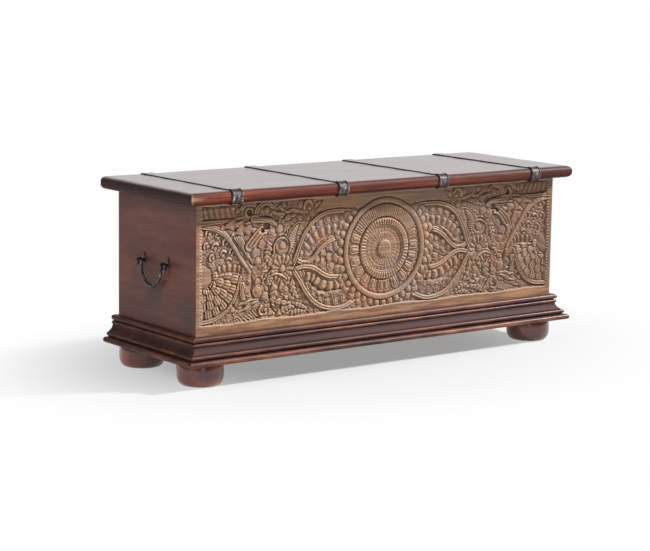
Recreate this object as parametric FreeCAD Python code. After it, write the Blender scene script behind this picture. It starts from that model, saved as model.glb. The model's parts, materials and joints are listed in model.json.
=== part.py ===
import FreeCAD, Part
import math
import os

# Damchiya storage chest: a low carved wooden chest with a hinged lid, iron
# straps over the lid, a drop handle on each end, a moulded base and bun feet.
# Millimetres, +Z up, +X along the front, the carved front faces -Y.
# The origin is on the floor, under the middle of the whole chest.

V = FreeCAD.Vector
os.makedirs("parts", exist_ok=True)

# Case
case_width = 1085.0
case_depth = 333.0
wall_rise = 302.0
board_thickness = 22.0
back_thickness = 14.0
back_rebate = 12.0
bottom_thickness = 12.0
cleat_width = 20.0
cleat_height = 22.0

# Base moulding and feet
plinth_height = 64.0
plinth_projection = 38.0
plinth_back_thickness = 10.0
foot_height = 54.0
foot_radius = 55.0
foot_top_radius = 51.5
foot_sole_radius = 42.0
foot_belly_height = 30.0
foot_swell_share = 0.25
foot_inset = 37.0
foot_back_inset = 46.0
tenon_radius = 11.0
tenon_length = 30.0
tenon_clearance = 0.1
foot_block_size = 82.0
foot_block_height = 36.0

# Section of the base moulding. Shares of plinth_projection (outwards) and of
# plinth_height (upwards): lip, second bead, cove, small round and top bead.
lip_shares = [(0.83, 0.0), (1.0, 0.1), (0.83, 0.2)]
lower_step_shares = [(0.62, 0.2), (0.62, 0.235)]
second_bead_shares = [(0.64, 0.235), (0.74, 0.31), (0.64, 0.385)]
cove_shares = [(0.57, 0.385), (0.57, 0.42), (0.36, 0.54), (0.29, 0.68)]
small_round_shares = [(0.29, 0.68), (0.325, 0.735), (0.26, 0.785)]
upper_step_shares = [(0.21, 0.785), (0.21, 0.81)]
top_bead_shares = [(0.22, 0.81), (0.385, 0.905), (0.22, 1.0)]

# Lid and its iron straps
lid_thickness = 30.0
lid_front_overhang = 33.5
lid_back_overhang = 24.0
lid_end_overhang = 35.5
lid_nose_radius = 13.5
lid_back_round = 5.0
strap_width = 29.0
strap_thickness = 2.0
strap_return = 7.0
outer_strap_inset = 125.0
inner_strap_share = 0.3366
clasp_bead_width = 4.5
clasp_bead_rise = 1.5
clasp_length = 20.0
nail_head_radius = 4.5
nail_head_rise = 2.0
nail_radius = 1.6
nail_length = 24.0

# Butt hinges between the back panel and the lid
hinge_spacing = 290.0
hinge_length = 64.0
knuckle_count = 5
knuckle_radius = 5.0
knuckle_gap = 0.3
hinge_wood_gap = 0.5
leaf_thickness = 1.8
case_leaf_height = 26.0
lid_leaf_width = 8.0
pin_radius = 2.4
pin_head_radius = 3.6
pin_head_rise = 1.5
screw_radius = 1.6
screw_head_radius = 3.4
screw_head_rise = 1.4
screw_length = 11.0
screw_spacing = 40.0
running_clearance = 0.06
fit_clearance = 0.1

# Drop handles, one on each end
handle_height = 267.0
eye_spacing = 102.0
eye_standoff = 15.0
eye_radius = 7.5
eye_width = 6.0
eye_stem_radius = 4.0
shank_radius = 3.0
rivet_radius = 4.6
rivet_rise = 1.5
washer_radius = 7.5
washer_thickness = 1.5
bail_rod_radius = 3.6
bail_drop = 53.0
bail_bend_radius = 5.5
bail_hook_length = 3.0
bail_eye_play = 1.2
rose_thickness = 2.5
rose_radius = 7.5
rose_waist_width = 7.5
rose_waist_height = 9.5
rose_tip_height = 19.0
rose_tip_width = 2.0

# Carved front
stile_width = 14.0
top_margin = 7.0
bottom_rail = 23.0
carving_depth = 9.0
medallion_lift = 161.0
medallion_radius = 123.0
medallion_ring_width = 13.0
petal_band_width = 36.0
petal_count = 20
slim_petal_length_share = 0.72
slim_petal_width_share = 0.55
rim_width = 12.0
rim_flute_count = 36
rim_flute_width = 6.0
ray_count = 16
ray_width = 8.5
ray_ring_width = 4.0
boss_radius = 20.0
boss_recess = 5.0
scallop_count = 36
scallop_radius = 7.5
oval_centre_x = 149.0
oval_half_length = 128.0
oval_half_height = 117.0
oval_border = 8.0
oval_gap = 4.0
oval_lobe_count = 11
oval_lobe_length = 20.0
oval_lobe_width = 19.0
leaf_half_length = 88.0
leaf_half_height = 62.0
scale_length = 15.0
scale_width = 15.0
scale_pitch = 17.0
rosette_arc_reach = 138.0
rosette_arc_rise = 116.0
rosette_boss_radius = 25.0
rosette_petal_length = 17.0
rosette_petal_width = 15.0
rosette_petal_pitch = 17.0
rosette_row_pitch = 18.5
rosette_row_count = 3
oval_drop = 26.0
flower_radius = 21.0
flower_petal_count = 6
flower_petal_width = 8.4
flower_button_radius = 7.6
upper_flower_share = 0.62
lower_flower_share = 0.78
frond_count = 4
frond_length = 52.0
frond_width = 20.0
plume_pair_count = 3
plume_margin = 32.0
plume_turn = 20.0

# How far each kind of relief stands up from the sunk ground
height_shares = {"petal": 0.6, "slim petal": 0.8, "flute": 0.75, "ray": 0.7,
                 "ray ring": 0.9, "disc": 0.5, "boss": 0.95, "scallop": 0.5,
                 "outer border": 0.95, "inner border": 0.8, "lobe": 0.65,
                 "core": 0.45, "scale": 0.75, "rosette boss": 0.9,
                 "rosette petal": 0.65, "flower petal": 0.7,
                 "flower button": 0.9, "frond": 0.6, "plume": 0.5}

# How far a tool or an outline runs past what it cuts or joins
overrun = 1.0

# Places worked out from the sizes above
half_width = case_width / 2
plinth_top = foot_height + plinth_height
lid_under = plinth_top + wall_rise
lid_top = lid_under + lid_thickness
overall_depth = (plinth_projection + case_depth + lid_back_overhang
                 + strap_thickness + nail_head_rise)
front_y = plinth_projection - overall_depth / 2
back_y = front_y + case_depth
inner_x = half_width - board_thickness
inner_front_y = front_y + board_thickness
inner_back_y = back_y - back_thickness
bottom_under = foot_height + foot_block_height
lid_front_y = front_y - lid_front_overhang
lid_back_y = back_y + lid_back_overhang
lid_half_width = half_width + lid_end_overhang
hinge_offset = knuckle_radius + hinge_wood_gap
hinge_y = back_y + hinge_offset
hinge_z = lid_under - hinge_offset
handle_y = (front_y + back_y) / 2
medallion_z = plinth_top + medallion_lift
ground_y = front_y + carving_depth
rise = {piece: share * carving_depth for piece, share in height_shares.items()}
outer_strap_x = lid_half_width - outer_strap_inset
inner_strap_x = outer_strap_x * inner_strap_share
strap_places = {"outer_left": -outer_strap_x, "inner_left": -inner_strap_x,
                "inner_right": inner_strap_x, "outer_right": outer_strap_x}
hinge_places = [-hinge_spacing, 0, hinge_spacing]
X, Y, Z = V(1, 0, 0), V(0, 1, 0), V(0, 0, 1)


def block(x0, x1, y0, y1, z0, z1):
    """A board given by its two faces along each axis."""
    return Part.makeBox(x1 - x0, y1 - y0, z1 - z0, V(x0, y0, z0))


def prism(points, push):
    """A solid pushed from a straight-sided outline."""
    wire = Part.makePolygon(points + [points[0]])
    return Part.Face(wire).extrude(push)


def rod(radius, start, end):
    """A round bar between two points."""
    run = end.sub(start)
    return Part.makeCylinder(radius, run.Length, start, run)


def mirrored(shape):
    """The same piece for the other end of the chest."""
    return shape.mirror(V(), X)


def pin_solid(centre, direction, head_radius, head_rise, shank, length):
    """A domed nail or screw: head on the surface, shank going in."""
    cap_radius = (head_radius ** 2 + head_rise ** 2) / (2 * head_rise)
    cap = Part.makeSphere(cap_radius, V(0, 0, head_rise - cap_radius))
    head = cap.common(Part.makeCylinder(head_radius + overrun, head_rise))
    solid = head.fuse(Part.makeCylinder(shank, length, V(0, 0, -length)))
    solid = solid.removeSplitter()
    turn = FreeCAD.Rotation(Z, direction)
    solid.Placement = FreeCAD.Placement(centre, turn)
    return solid


def pilot_hole(centre, direction, shank, length):
    """The hole that a nail or screw goes into, a little wider and deeper."""
    start = centre.add(V(direction).multiply(overrun))
    end = centre.sub(V(direction).multiply(length + fit_clearance))
    return rod(shank + fit_clearance, start, end)


def export(name, shape):
    """One file for one piece, or for one group of like fasteners."""
    if isinstance(shape, list):
        shape = Part.makeCompound(shape)
    shape.exportStep("parts/" + name + ".step")


# Carving. It is drawn flat, x across and y up from the middle of the
# medallion, with z the height above the sunk ground, and stood up at the end.

def lump(edges, height):
    """A straight-walled piece of relief, rooted in the ground."""
    solid = Part.Face(Part.Wire(edges)).extrude(V(0, 0, height + overrun))
    solid.translate(V(0, 0, -overrun))
    return solid


def tongue(length, width, height):
    """A petal, scale or lobe: straight sides from x = 0, then a round tip."""
    half = width / 2
    root_low, root_high = V(0, -half, 0), V(0, half, 0)
    tip_low, tip_high = V(length - half, -half, 0), V(length - half, half, 0)
    tip = Part.Arc(tip_low, V(length, 0, 0), tip_high).toShape()
    return lump([Part.makeLine(root_low, tip_low), tip,
                 Part.makeLine(tip_high, root_high),
                 Part.makeLine(root_high, root_low)], height)


def leaf(length, width, height):
    """A pointed leaf along +x, two arcs that meet at its tips."""
    root, tip = V(), V(length, 0, 0)
    upper = Part.Arc(root, V(length / 2, width / 2, 0), tip).toShape()
    lower = Part.Arc(tip, V(length / 2, -width / 2, 0), root).toShape()
    return lump([upper, lower], height)


def disc(radius, height, x, y):
    """A round button."""
    return Part.makeCylinder(radius, height + overrun, V(x, y, -overrun))


def ring(outer, inner, height, x, y):
    """A flat-topped ring."""
    hole = Part.makeCylinder(inner, height + 3 * overrun,
                             V(x, y, -2 * overrun))
    return disc(outer, height, x, y).cut(hole)


def placed(shape, x, y, angle):
    """A copy of a piece of relief, turned by an angle and moved."""
    copy = shape.copy()
    copy.rotate(V(), Z, angle)
    copy.translate(V(x, y, 0))
    return copy


def wheel(shape, count, radius, x, y, first_angle):
    """Copies of a piece evenly round a centre, pointing outwards."""
    copies = []
    for index in range(count):
        angle = first_angle + 360 * index / count
        spoke = math.radians(angle)
        copies.append(placed(shape, x + radius * math.cos(spoke),
                             y + radius * math.sin(spoke), angle))
    return copies


def pointed_border(half_length, half_height, height, x, y):
    """A raised band that follows a pointed oval, inside its outline."""
    outer = leaf(2 * half_length, 2 * half_height, height)
    inner_length = half_length - oval_border
    inner = leaf(2 * inner_length, 2 * (half_height - oval_border),
                 height + overrun)
    inner.translate(V(oval_border, 0, 0))
    inner = inner.fuse(inner.translated(V(0, 0, -overrun)))
    band = outer.cut(inner)
    band.translate(V(x - half_length, y, 0))
    return band


def medallion():
    """Middle wheel: scallops, ring, petals, fluted disc, rays and boss."""
    petal_outer = medallion_radius - medallion_ring_width
    disc_radius = petal_outer - petal_band_width
    rim_inner = disc_radius - rim_width
    ray_outer = rim_inner - ray_ring_width
    recess_outer = boss_radius + boss_recess
    root = disc_radius - overrun
    petal_width = 2 * math.pi * disc_radius / petal_count - 2 * overrun
    wide_petal = tongue(petal_band_width, petal_width, rise["petal"])
    slim_petal = tongue(petal_band_width * slim_petal_length_share,
                        petal_width * slim_petal_width_share,
                        rise["slim petal"])
    flute = block(0, rim_width, -rim_flute_width / 2, rim_flute_width / 2,
                  -overrun, rise["flute"])
    ray = tongue(ray_outer - recess_outer - 2 * overrun, ray_width,
                 rise["ray"])
    scallop = disc(scallop_radius, rise["scallop"], 0, 0)
    pieces = wheel(scallop, scallop_count, medallion_radius, 0, 0, 0)
    pieces += wheel(wide_petal, petal_count, root, 0, 0, 0)
    pieces += wheel(slim_petal, petal_count, root, 0, 0, 0)
    pieces += wheel(flute, rim_flute_count, root - rim_width, 0, 0, 0)
    pieces += wheel(ray, ray_count, recess_outer, 0, 0, 0)
    pieces.append(ring(medallion_radius, petal_outer, carving_depth, 0, 0))
    pieces.append(disc(disc_radius, rise["disc"], 0, 0))
    pieces.append(ring(rim_inner, ray_outer, rise["ray ring"], 0, 0))
    pieces.append(disc(boss_radius, rise["boss"], 0, 0))
    return pieces


def oval_side():
    """Pointed oval beside the medallion, with its border, lobes and leaf."""
    x, y = oval_centre_x, -oval_drop
    step = oval_border + oval_gap
    pieces = [pointed_border(oval_half_length, oval_half_height,
                             rise["outer border"], x, y),
              pointed_border(oval_half_length - step, oval_half_height - step,
                             rise["inner border"], x, y)]
    lobe = tongue(oval_lobe_length, oval_lobe_width, rise["lobe"])
    path_length = oval_half_length - 2 * step - oval_lobe_length
    path_height = oval_half_height - 2 * step - oval_lobe_length
    for index in range(oval_lobe_count):
        angle = 180 * (index + 0.5) / oval_lobe_count - 90
        turn = math.radians(angle)
        pieces.append(placed(lobe, x + path_length * math.cos(turn),
                             y + path_height * math.sin(turn), angle))
    core = leaf(2 * leaf_half_length, 2 * leaf_half_height, rise["core"])
    pieces.append(placed(core, x - oval_border - leaf_half_length, y, 0))
    scale = tongue(scale_length, scale_width, rise["scale"])
    rows = int(leaf_half_length / scale_pitch)
    for row in range(rows):
        count = max(1, rows - row - 1)
        for index in range(count):
            offset = (index - (count - 1) / 2) * scale_pitch
            pieces.append(placed(scale, x + row * scale_pitch - oval_border,
                                 y + offset, 0))
    wheel_area = Part.makeCylinder(medallion_radius - 2 * overrun,
                                   2 * board_thickness,
                                   V(0, 0, -board_thickness))
    return [piece.cut(wheel_area) for piece in pieces]


def end_rosette():
    """Half rosette against the end stile, under its own pointed arch."""
    x, y = half_width - stile_width, -oval_drop
    step = oval_border + oval_gap
    pieces = [disc(rosette_boss_radius, rise["rosette boss"], x, y)]
    petal = tongue(rosette_petal_length, rosette_petal_width,
                   rise["rosette petal"])
    radius = rosette_boss_radius - 2 * overrun
    for row in range(rosette_row_count):
        middle = radius + rosette_petal_length / 2
        count = int(2 * math.pi * middle / rosette_petal_pitch)
        first = 180 * (row % 2) / count
        pieces += wheel(petal, count, radius, x, y, first)
        radius = radius + rosette_row_pitch
    pieces.append(pointed_border(rosette_arc_reach, rosette_arc_rise,
                                 rise["outer border"], x, y))
    pieces.append(pointed_border(rosette_arc_reach - step,
                                 rosette_arc_rise - step,
                                 rise["inner border"], x, y))
    return pieces


def scrollwork():
    """Flowers and fronds in the space between an oval and an end rosette."""
    tip_x = oval_centre_x + oval_half_length
    arch_x = half_width - stile_width - rosette_arc_reach
    middle = (tip_x + arch_x) / 2
    upper = wall_rise - top_margin - medallion_lift
    lower = medallion_lift - bottom_rail
    pieces = []
    petal = leaf(flower_radius, flower_petal_width, rise["flower petal"])
    frond = leaf(frond_length, frond_width, rise["frond"])
    plume = leaf(frond_length, frond_width, rise["plume"])
    flowers = [(middle, -oval_drop), (middle, upper * upper_flower_share),
               (middle, -lower * lower_flower_share)]
    for x, y in flowers:
        pieces += wheel(frond, frond_count, flower_radius, x, y, 45)
        pieces += wheel(petal, flower_petal_count, 2 * overrun, x, y, 90)
        pieces.append(disc(flower_button_radius, rise["flower button"], x, y))
    for step in range(plume_pair_count):
        x = arch_x + frond_length * (step + 1) / 2
        angle = 90 - plume_turn * step
        pieces.append(placed(plume, x, upper - plume_margin, angle))
        pieces.append(placed(plume, x, plume_margin - lower, -angle))
    return pieces


def carved_front():
    """Front board: plain stiles and rails round a sunk, carved field."""
    base = -medallion_lift - plinth_height
    top = wall_rise - medallion_lift
    back = carving_depth - board_thickness
    board = prism([V(-half_width, base, carving_depth),
                   V(half_width, base, carving_depth),
                   V(inner_x, base, back), V(-inner_x, base, back)],
                  V(0, top - base, 0))
    field_x = half_width - stile_width
    field_low = bottom_rail - medallion_lift
    field_high = top - top_margin
    board = board.cut(block(-field_x, field_x, field_low, field_high,
                            0, carving_depth + overrun))
    fence = block(-field_x - overrun, field_x + overrun,
                  field_low - overrun, field_high + overrun,
                  back, carving_depth)
    half = oval_side() + end_rosette() + scrollwork()
    pieces = medallion() + half + [mirrored(piece) for piece in half]
    relief = []
    for piece in pieces:
        solids = piece.Solids
        if not fence.BoundBox.isInside(piece.BoundBox):
            solids = piece.common(fence).Solids
        relief += solids
    board = board.fuse(relief).removeSplitter()
    place = V(0, ground_y, medallion_z)
    board.Placement = FreeCAD.Placement(place, FreeCAD.Rotation(X, 90))
    return board


# Case walls, bottom and the hidden wood that carries them

def shank_holes(y_shift):
    """Where the two shanks of a handle pass through the left side."""
    return V(-half_width, handle_y + y_shift, handle_height)


def side_board():
    """Left side: mitred to the front, rebated for the back, drilled twice."""
    board = prism([V(-half_width, front_y, foot_height),
                   V(-inner_x, inner_front_y, foot_height),
                   V(-inner_x, back_y, foot_height),
                   V(-half_width, back_y, foot_height)],
                  V(0, 0, lid_under - foot_height))
    rebate = block(-inner_x - back_rebate, -inner_x + overrun,
                   inner_back_y, back_y + overrun,
                   foot_height - overrun, lid_under + overrun)
    board = board.cut(rebate)
    for y_shift in (-eye_spacing / 2, eye_spacing / 2):
        mouth = shank_holes(y_shift).sub(V(overrun, 0, 0))
        far = mouth.add(V(board_thickness + 2 * overrun, 0, 0))
        board = board.cut(rod(shank_radius + fit_clearance, mouth, far))
    return board


def hinge_screw_places():
    """Screw centres on the case leaves, then on the lid leaves."""
    case_z = hinge_z - hinge_offset - case_leaf_height / 2
    lid_y = hinge_y + hinge_offset + lid_leaf_width / 2
    case_screws, lid_screws = [], []
    for hinge_x in hinge_places:
        for shift in (-screw_spacing / 2, screw_spacing / 2):
            case_screws.append(V(hinge_x + shift, back_y + leaf_thickness,
                                 case_z))
            lid_screws.append(V(hinge_x + shift, lid_y,
                                lid_under - leaf_thickness))
    return case_screws, lid_screws


def back_board():
    """Plain back, let into the rebates of the sides."""
    reach = inner_x + back_rebate
    board = block(-reach, reach, inner_back_y, back_y, foot_height, lid_under)
    for place in hinge_screw_places()[0]:
        board = board.cut(pilot_hole(place, Y, screw_radius, screw_length))
    return board


def foot_place(side, end):
    """Centre of a foot on the floor; end is -1 at the front, 1 at the back."""
    x = side * (half_width - foot_inset)
    y = front_y + foot_inset if end < 0 else back_y - foot_back_inset
    return V(x, y, 0)


def foot_block(side, end):
    """Corner block under the bottom board, bored for the tenon of a foot."""
    near = inner_x - foot_block_size
    x0, x1 = (-inner_x, -near) if side < 0 else (near, inner_x)
    if end < 0:
        y0, y1 = inner_front_y, inner_front_y + foot_block_size
    else:
        y0, y1 = inner_back_y - foot_block_size, inner_back_y
    solid = block(x0, x1, y0, y1, foot_height, bottom_under)
    start = foot_place(side, end).add(V(0, 0, foot_height - overrun))
    end_point = foot_place(side, end).add(V(0, 0, bottom_under + overrun))
    return solid.cut(rod(tenon_radius + tenon_clearance, start, end_point))


def foot(side, end):
    """Turned bun foot: round belly, flat sole, and a tenon on top."""
    belly = V(foot_radius, 0, foot_belly_height)
    shoulder = V(foot_top_radius, 0, foot_height)
    taper = foot_radius - foot_top_radius
    swell = V(foot_radius - taper / 2 + taper * foot_swell_share, 0,
              (foot_belly_height + foot_height) / 2)
    sole = V(foot_sole_radius, 0, 0)
    round_width = foot_radius - foot_sole_radius
    turn = math.radians(45)
    hip = V(foot_sole_radius + round_width * math.cos(turn), 0,
            foot_belly_height * (1 - math.sin(turn)))
    tenon_top = foot_height + tenon_length
    outline = [Part.makeLine(V(), sole),
               Part.Arc(sole, hip, belly).toShape(),
               Part.Arc(belly, swell, shoulder).toShape(),
               Part.makeLine(shoulder, V(tenon_radius, 0, foot_height)),
               Part.makeLine(V(tenon_radius, 0, foot_height),
                             V(tenon_radius, 0, tenon_top)),
               Part.makeLine(V(tenon_radius, 0, tenon_top),
                             V(0, 0, tenon_top)),
               Part.makeLine(V(0, 0, tenon_top), V())]
    solid = Part.Face(Part.Wire(outline)).revolve(V(), Z, 360)
    solid.translate(foot_place(side, end))
    return solid


# Base moulding

def moulding_face(at):
    """Closed moulding section; at() turns a pair of shares into a point."""
    def line(a, b):
        return Part.makeLine(at(*a), at(*b))

    def bow(a, b, c):
        return Part.Arc(at(*a), at(*b), at(*c)).toShape()

    edges = [line((0.0, 0.0), lip_shares[0]), bow(*lip_shares),
             line(lip_shares[2], lower_step_shares[0]),
             line(*lower_step_shares),
             line(lower_step_shares[1], second_bead_shares[0]),
             bow(*second_bead_shares),
             line(second_bead_shares[2], cove_shares[0]),
             line(cove_shares[0], cove_shares[1]),
             bow(*cove_shares[1:]), bow(*small_round_shares),
             line(small_round_shares[2], upper_step_shares[0]),
             line(*upper_step_shares),
             line(upper_step_shares[1], top_bead_shares[0]),
             bow(*top_bead_shares), line(top_bead_shares[2], (0.0, 1.0)),
             line((0.0, 1.0), (0.0, 0.0))]
    return Part.Face(Part.Wire(edges))


def plinth_front():
    """Front moulding, mitred at both ends."""
    reach = half_width + plinth_projection

    def at(out, up):
        return V(-reach, front_y - out * plinth_projection,
                 foot_height + up * plinth_height)

    bar = moulding_face(at).extrude(V(2 * reach, 0, 0))
    outer_y = front_y - plinth_projection
    keep = prism([V(-reach, outer_y, foot_height),
                  V(reach, outer_y, foot_height),
                  V(half_width, front_y, foot_height),
                  V(-half_width, front_y, foot_height)],
                 V(0, 0, plinth_height))
    return bar.common(keep)


def plinth_side():
    """Left moulding, mitred at the front and square at the back."""
    outer_y = front_y - plinth_projection
    end_y = back_y + plinth_back_thickness
    outer_x = -half_width - plinth_projection

    def at(out, up):
        return V(-half_width - out * plinth_projection, outer_y,
                 foot_height + up * plinth_height)

    bar = moulding_face(at).extrude(V(0, end_y - outer_y, 0))
    keep = prism([V(outer_x, outer_y, foot_height),
                  V(-half_width, front_y, foot_height),
                  V(-half_width, end_y, foot_height),
                  V(outer_x, end_y, foot_height)],
                 V(0, 0, plinth_height))
    return bar.common(keep)


# Lid

def rounded_section(low, high, under, upper, low_round, high_round, at):
    """Board section with rounded edges; at(a, b) places a point of it."""
    def corner(a, b, radius, a_way, b_way):
        middle = radius * (1 - math.sqrt(0.5))
        return Part.Arc(at(a, b - b_way * radius),
                        at(a + a_way * middle, b - b_way * middle),
                        at(a + a_way * radius, b)).toShape()

    edges = [Part.makeLine(at(low, under + low_round),
                           at(low, upper - low_round)),
             corner(low, upper, low_round, 1, 1),
             Part.makeLine(at(low + low_round, upper),
                           at(high - high_round, upper)),
             corner(high, upper, high_round, -1, 1),
             Part.makeLine(at(high, upper - high_round),
                           at(high, under + high_round)),
             corner(high, under, high_round, -1, -1),
             Part.makeLine(at(high - high_round, under),
                           at(low + low_round, under)),
             corner(low, under, low_round, 1, -1)]
    return Part.Face(Part.Wire(Part.__sortEdges__(edges)))


def lid_core(x0, x1, grow):
    """Lid section from front to back, grown outwards by a strap thickness."""
    def at(y, z):
        return V(x0, y, z)

    face = rounded_section(lid_front_y - grow, lid_back_y + grow,
                           lid_under - grow, lid_top + grow,
                           lid_nose_radius + grow, lid_back_round + grow, at)
    return face.extrude(V(x1 - x0, 0, 0))


def strap_nail_places():
    """Middle of the nosing and of the back edge at each strap."""
    middle_z = (lid_under + lid_top) / 2
    front, back = [], []
    for x in strap_places.values():
        front.append(V(x, lid_front_y - strap_thickness, middle_z))
        back.append(V(x, lid_back_y + strap_thickness, middle_z))
    return front, back


def lid_board():
    """One thick board with a round nosing at the front and both ends."""
    def at(x, z):
        return V(x, lid_front_y, z)

    along = rounded_section(-lid_half_width, lid_half_width, lid_under,
                            lid_top, lid_nose_radius, lid_nose_radius, at)
    along = along.extrude(V(0, lid_back_y - lid_front_y, 0))
    board = lid_core(-lid_half_width, lid_half_width, 0).common(along)
    front, back = strap_nail_places()
    for place in front:
        board = board.cut(pilot_hole(place, V(0, -1, 0), nail_radius,
                                     nail_length))
    for place in back:
        board = board.cut(pilot_hole(place, Y, nail_radius, nail_length))
    for place in hinge_screw_places()[1]:
        board = board.cut(pilot_hole(place, V(0, 0, -1), screw_radius,
                                     screw_length))
    return board


def strap(x):
    """Flat iron band over the lid, clasped round the nosing and the back."""
    half = strap_width / 2
    band = lid_core(x - half, x + half, strap_thickness)
    for edge in (x - half, x + half - clasp_bead_width):
        bead = lid_core(edge, edge + clasp_bead_width,
                        strap_thickness + clasp_bead_rise)
        reach = lid_front_y + clasp_length
        clasp = block(edge, edge + clasp_bead_width,
                      lid_front_y - strap_thickness - 2 * clasp_bead_rise,
                      reach, lid_under - strap_thickness - 2 * clasp_bead_rise,
                      lid_top + strap_thickness + 2 * clasp_bead_rise)
        band = band.fuse(bead.common(clasp))
    band = band.cut(lid_core(x - strap_width, x + strap_width, 0))
    gap_front = lid_front_y + lid_nose_radius + strap_return
    gap_back = lid_back_y - lid_back_round - strap_return
    gap = block(x - strap_width, x + strap_width, gap_front, gap_back,
                lid_under - lid_thickness, lid_under + overrun)
    band = band.cut(gap)
    front, back = strap_nail_places()
    depth = strap_thickness + overrun
    for place in front:
        band = band.cut(pilot_hole(place, V(0, -1, 0), nail_radius, depth))
    for place in back:
        band = band.cut(pilot_hole(place, Y, nail_radius, depth))
    return band.removeSplitter()


# Hinges

def knuckle_spans(hinge_x, first):
    """Every second knuckle of a hinge, as pairs of ends along x."""
    pitch = hinge_length / knuckle_count
    start = hinge_x - hinge_length / 2
    spans = []
    for index in range(first, knuckle_count, 2):
        low = start + index * pitch
        spans.append((low + knuckle_gap / 2, low + pitch - knuckle_gap / 2))
    return spans


def pin_bore(hinge_x):
    """The bore that the pin runs in, right through the hinge."""
    start = V(hinge_x - hinge_length, hinge_y, hinge_z)
    end = V(hinge_x + hinge_length, hinge_y, hinge_z)
    return rod(pin_radius + running_clearance, start, end)


def case_leaf(hinge_x):
    """Leaf on the back of the case, with the outer knuckles."""
    half = hinge_length / 2
    plate_top = hinge_z - hinge_offset
    leaf_plate = block(hinge_x - half, hinge_x + half, back_y,
                       back_y + leaf_thickness,
                       plate_top - case_leaf_height, plate_top)
    for low, high in knuckle_spans(hinge_x, 0):
        web = block(low, high, back_y, back_y + leaf_thickness,
                    plate_top - overrun, hinge_z)
        barrel = rod(knuckle_radius, V(low, hinge_y, hinge_z),
                     V(high, hinge_y, hinge_z))
        leaf_plate = leaf_plate.fuse([web, barrel])
    leaf_plate = leaf_plate.cut(pin_bore(hinge_x))
    for place in hinge_screw_places()[0]:
        leaf_plate = leaf_plate.cut(pilot_hole(place, Y, screw_radius,
                                               screw_length))
    return leaf_plate.removeSplitter()


def lid_leaf(hinge_x):
    """Leaf under the back overhang of the lid, with the inner knuckles."""
    half = hinge_length / 2
    plate_start = hinge_y + hinge_offset
    under = lid_under - leaf_thickness
    leaf_plate = block(hinge_x - half, hinge_x + half, plate_start,
                       plate_start + lid_leaf_width, under, lid_under)
    for low, high in knuckle_spans(hinge_x, 1):
        web = block(low, high, hinge_y, plate_start + overrun,
                    under, lid_under)
        barrel = rod(knuckle_radius, V(low, hinge_y, hinge_z),
                     V(high, hinge_y, hinge_z))
        leaf_plate = leaf_plate.fuse([web, barrel])
    leaf_plate = leaf_plate.cut(pin_bore(hinge_x))
    for place in hinge_screw_places()[1]:
        leaf_plate = leaf_plate.cut(pilot_hole(place, V(0, 0, -1),
                                               screw_radius, screw_length))
    return leaf_plate.removeSplitter()


def hinge_pin(hinge_x):
    """Steel pin with a small head at each end."""
    half = hinge_length / 2
    pieces = [rod(pin_radius, V(hinge_x - half, hinge_y, hinge_z),
                  V(hinge_x + half, hinge_y, hinge_z))]
    for way in (-1, 1):
        foot_x = hinge_x + way * half
        pieces.append(rod(pin_head_radius, V(foot_x, hinge_y, hinge_z),
                          V(foot_x + way * pin_head_rise, hinge_y, hinge_z)))
    return pieces[0].fuse(pieces[1:]).removeSplitter()


# Handles. Everything is drawn on the left end, then mirrored for the right.

def handle_eye(y_shift):
    """Forged eye: tube round the bail, stem, and a shank riveted inside."""
    wall = shank_holes(y_shift)
    centre = wall.sub(V(eye_standoff, 0, 0))
    tube = rod(eye_radius, centre.sub(V(0, eye_width / 2, 0)),
               centre.add(V(0, eye_width / 2, 0)))
    stem = rod(eye_stem_radius, centre, wall.sub(V(rose_thickness, 0, 0)))
    inside = wall.add(V(board_thickness + washer_thickness, 0, 0))
    shank = rod(shank_radius, centre, inside)
    rivet = rod(rivet_radius, inside, inside.add(V(rivet_rise, 0, 0)))
    solid = tube.fuse([stem, shank, rivet])
    bore = rod(bail_rod_radius + running_clearance,
               centre.sub(V(0, eye_width, 0)), centre.add(V(0, eye_width, 0)))
    return solid.cut(bore).removeSplitter()


def rose_plate(y_shift):
    """Small plate behind an eye, drawn up into a blunt tip."""
    wall = shank_holes(y_shift)
    half_tip = rose_tip_width / 2
    right = V(0, rose_radius, 0)
    tip = V(0, 0, rose_tip_height)
    waist = V(0, rose_waist_width / 2, rose_waist_height)
    waist_left = V(0, -rose_waist_width / 2, rose_waist_height)
    tip_right = tip.add(V(0, half_tip, 0))
    tip_left = tip.sub(V(0, half_tip, 0))
    edges = [Part.Arc(V(0, -rose_radius, 0), V(0, 0, -rose_radius),
                      right).toShape(),
             Part.Arc(right, waist, tip_right).toShape(),
             Part.makeLine(tip_right, tip_left),
             Part.Arc(tip_left, waist_left,
                      V(0, -rose_radius, 0)).toShape()]
    plate = Part.Face(Part.Wire(edges)).extrude(V(-rose_thickness, 0, 0))
    plate.translate(wall)
    hole = rod(shank_radius + fit_clearance,
               wall.sub(V(rose_thickness + overrun, 0, 0)),
               wall.add(V(overrun, 0, 0)))
    return plate.cut(hole)


def handle_washer(y_shift):
    """Washer inside the chest, under the riveted end of a shank."""
    inside = shank_holes(y_shift).add(V(board_thickness, 0, 0))
    far = inside.add(V(washer_thickness, 0, 0))
    hole = rod(shank_radius + fit_clearance, inside.sub(V(overrun, 0, 0)),
               far.add(V(overrun, 0, 0)))
    return rod(washer_radius, inside, far).cut(hole)


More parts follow.
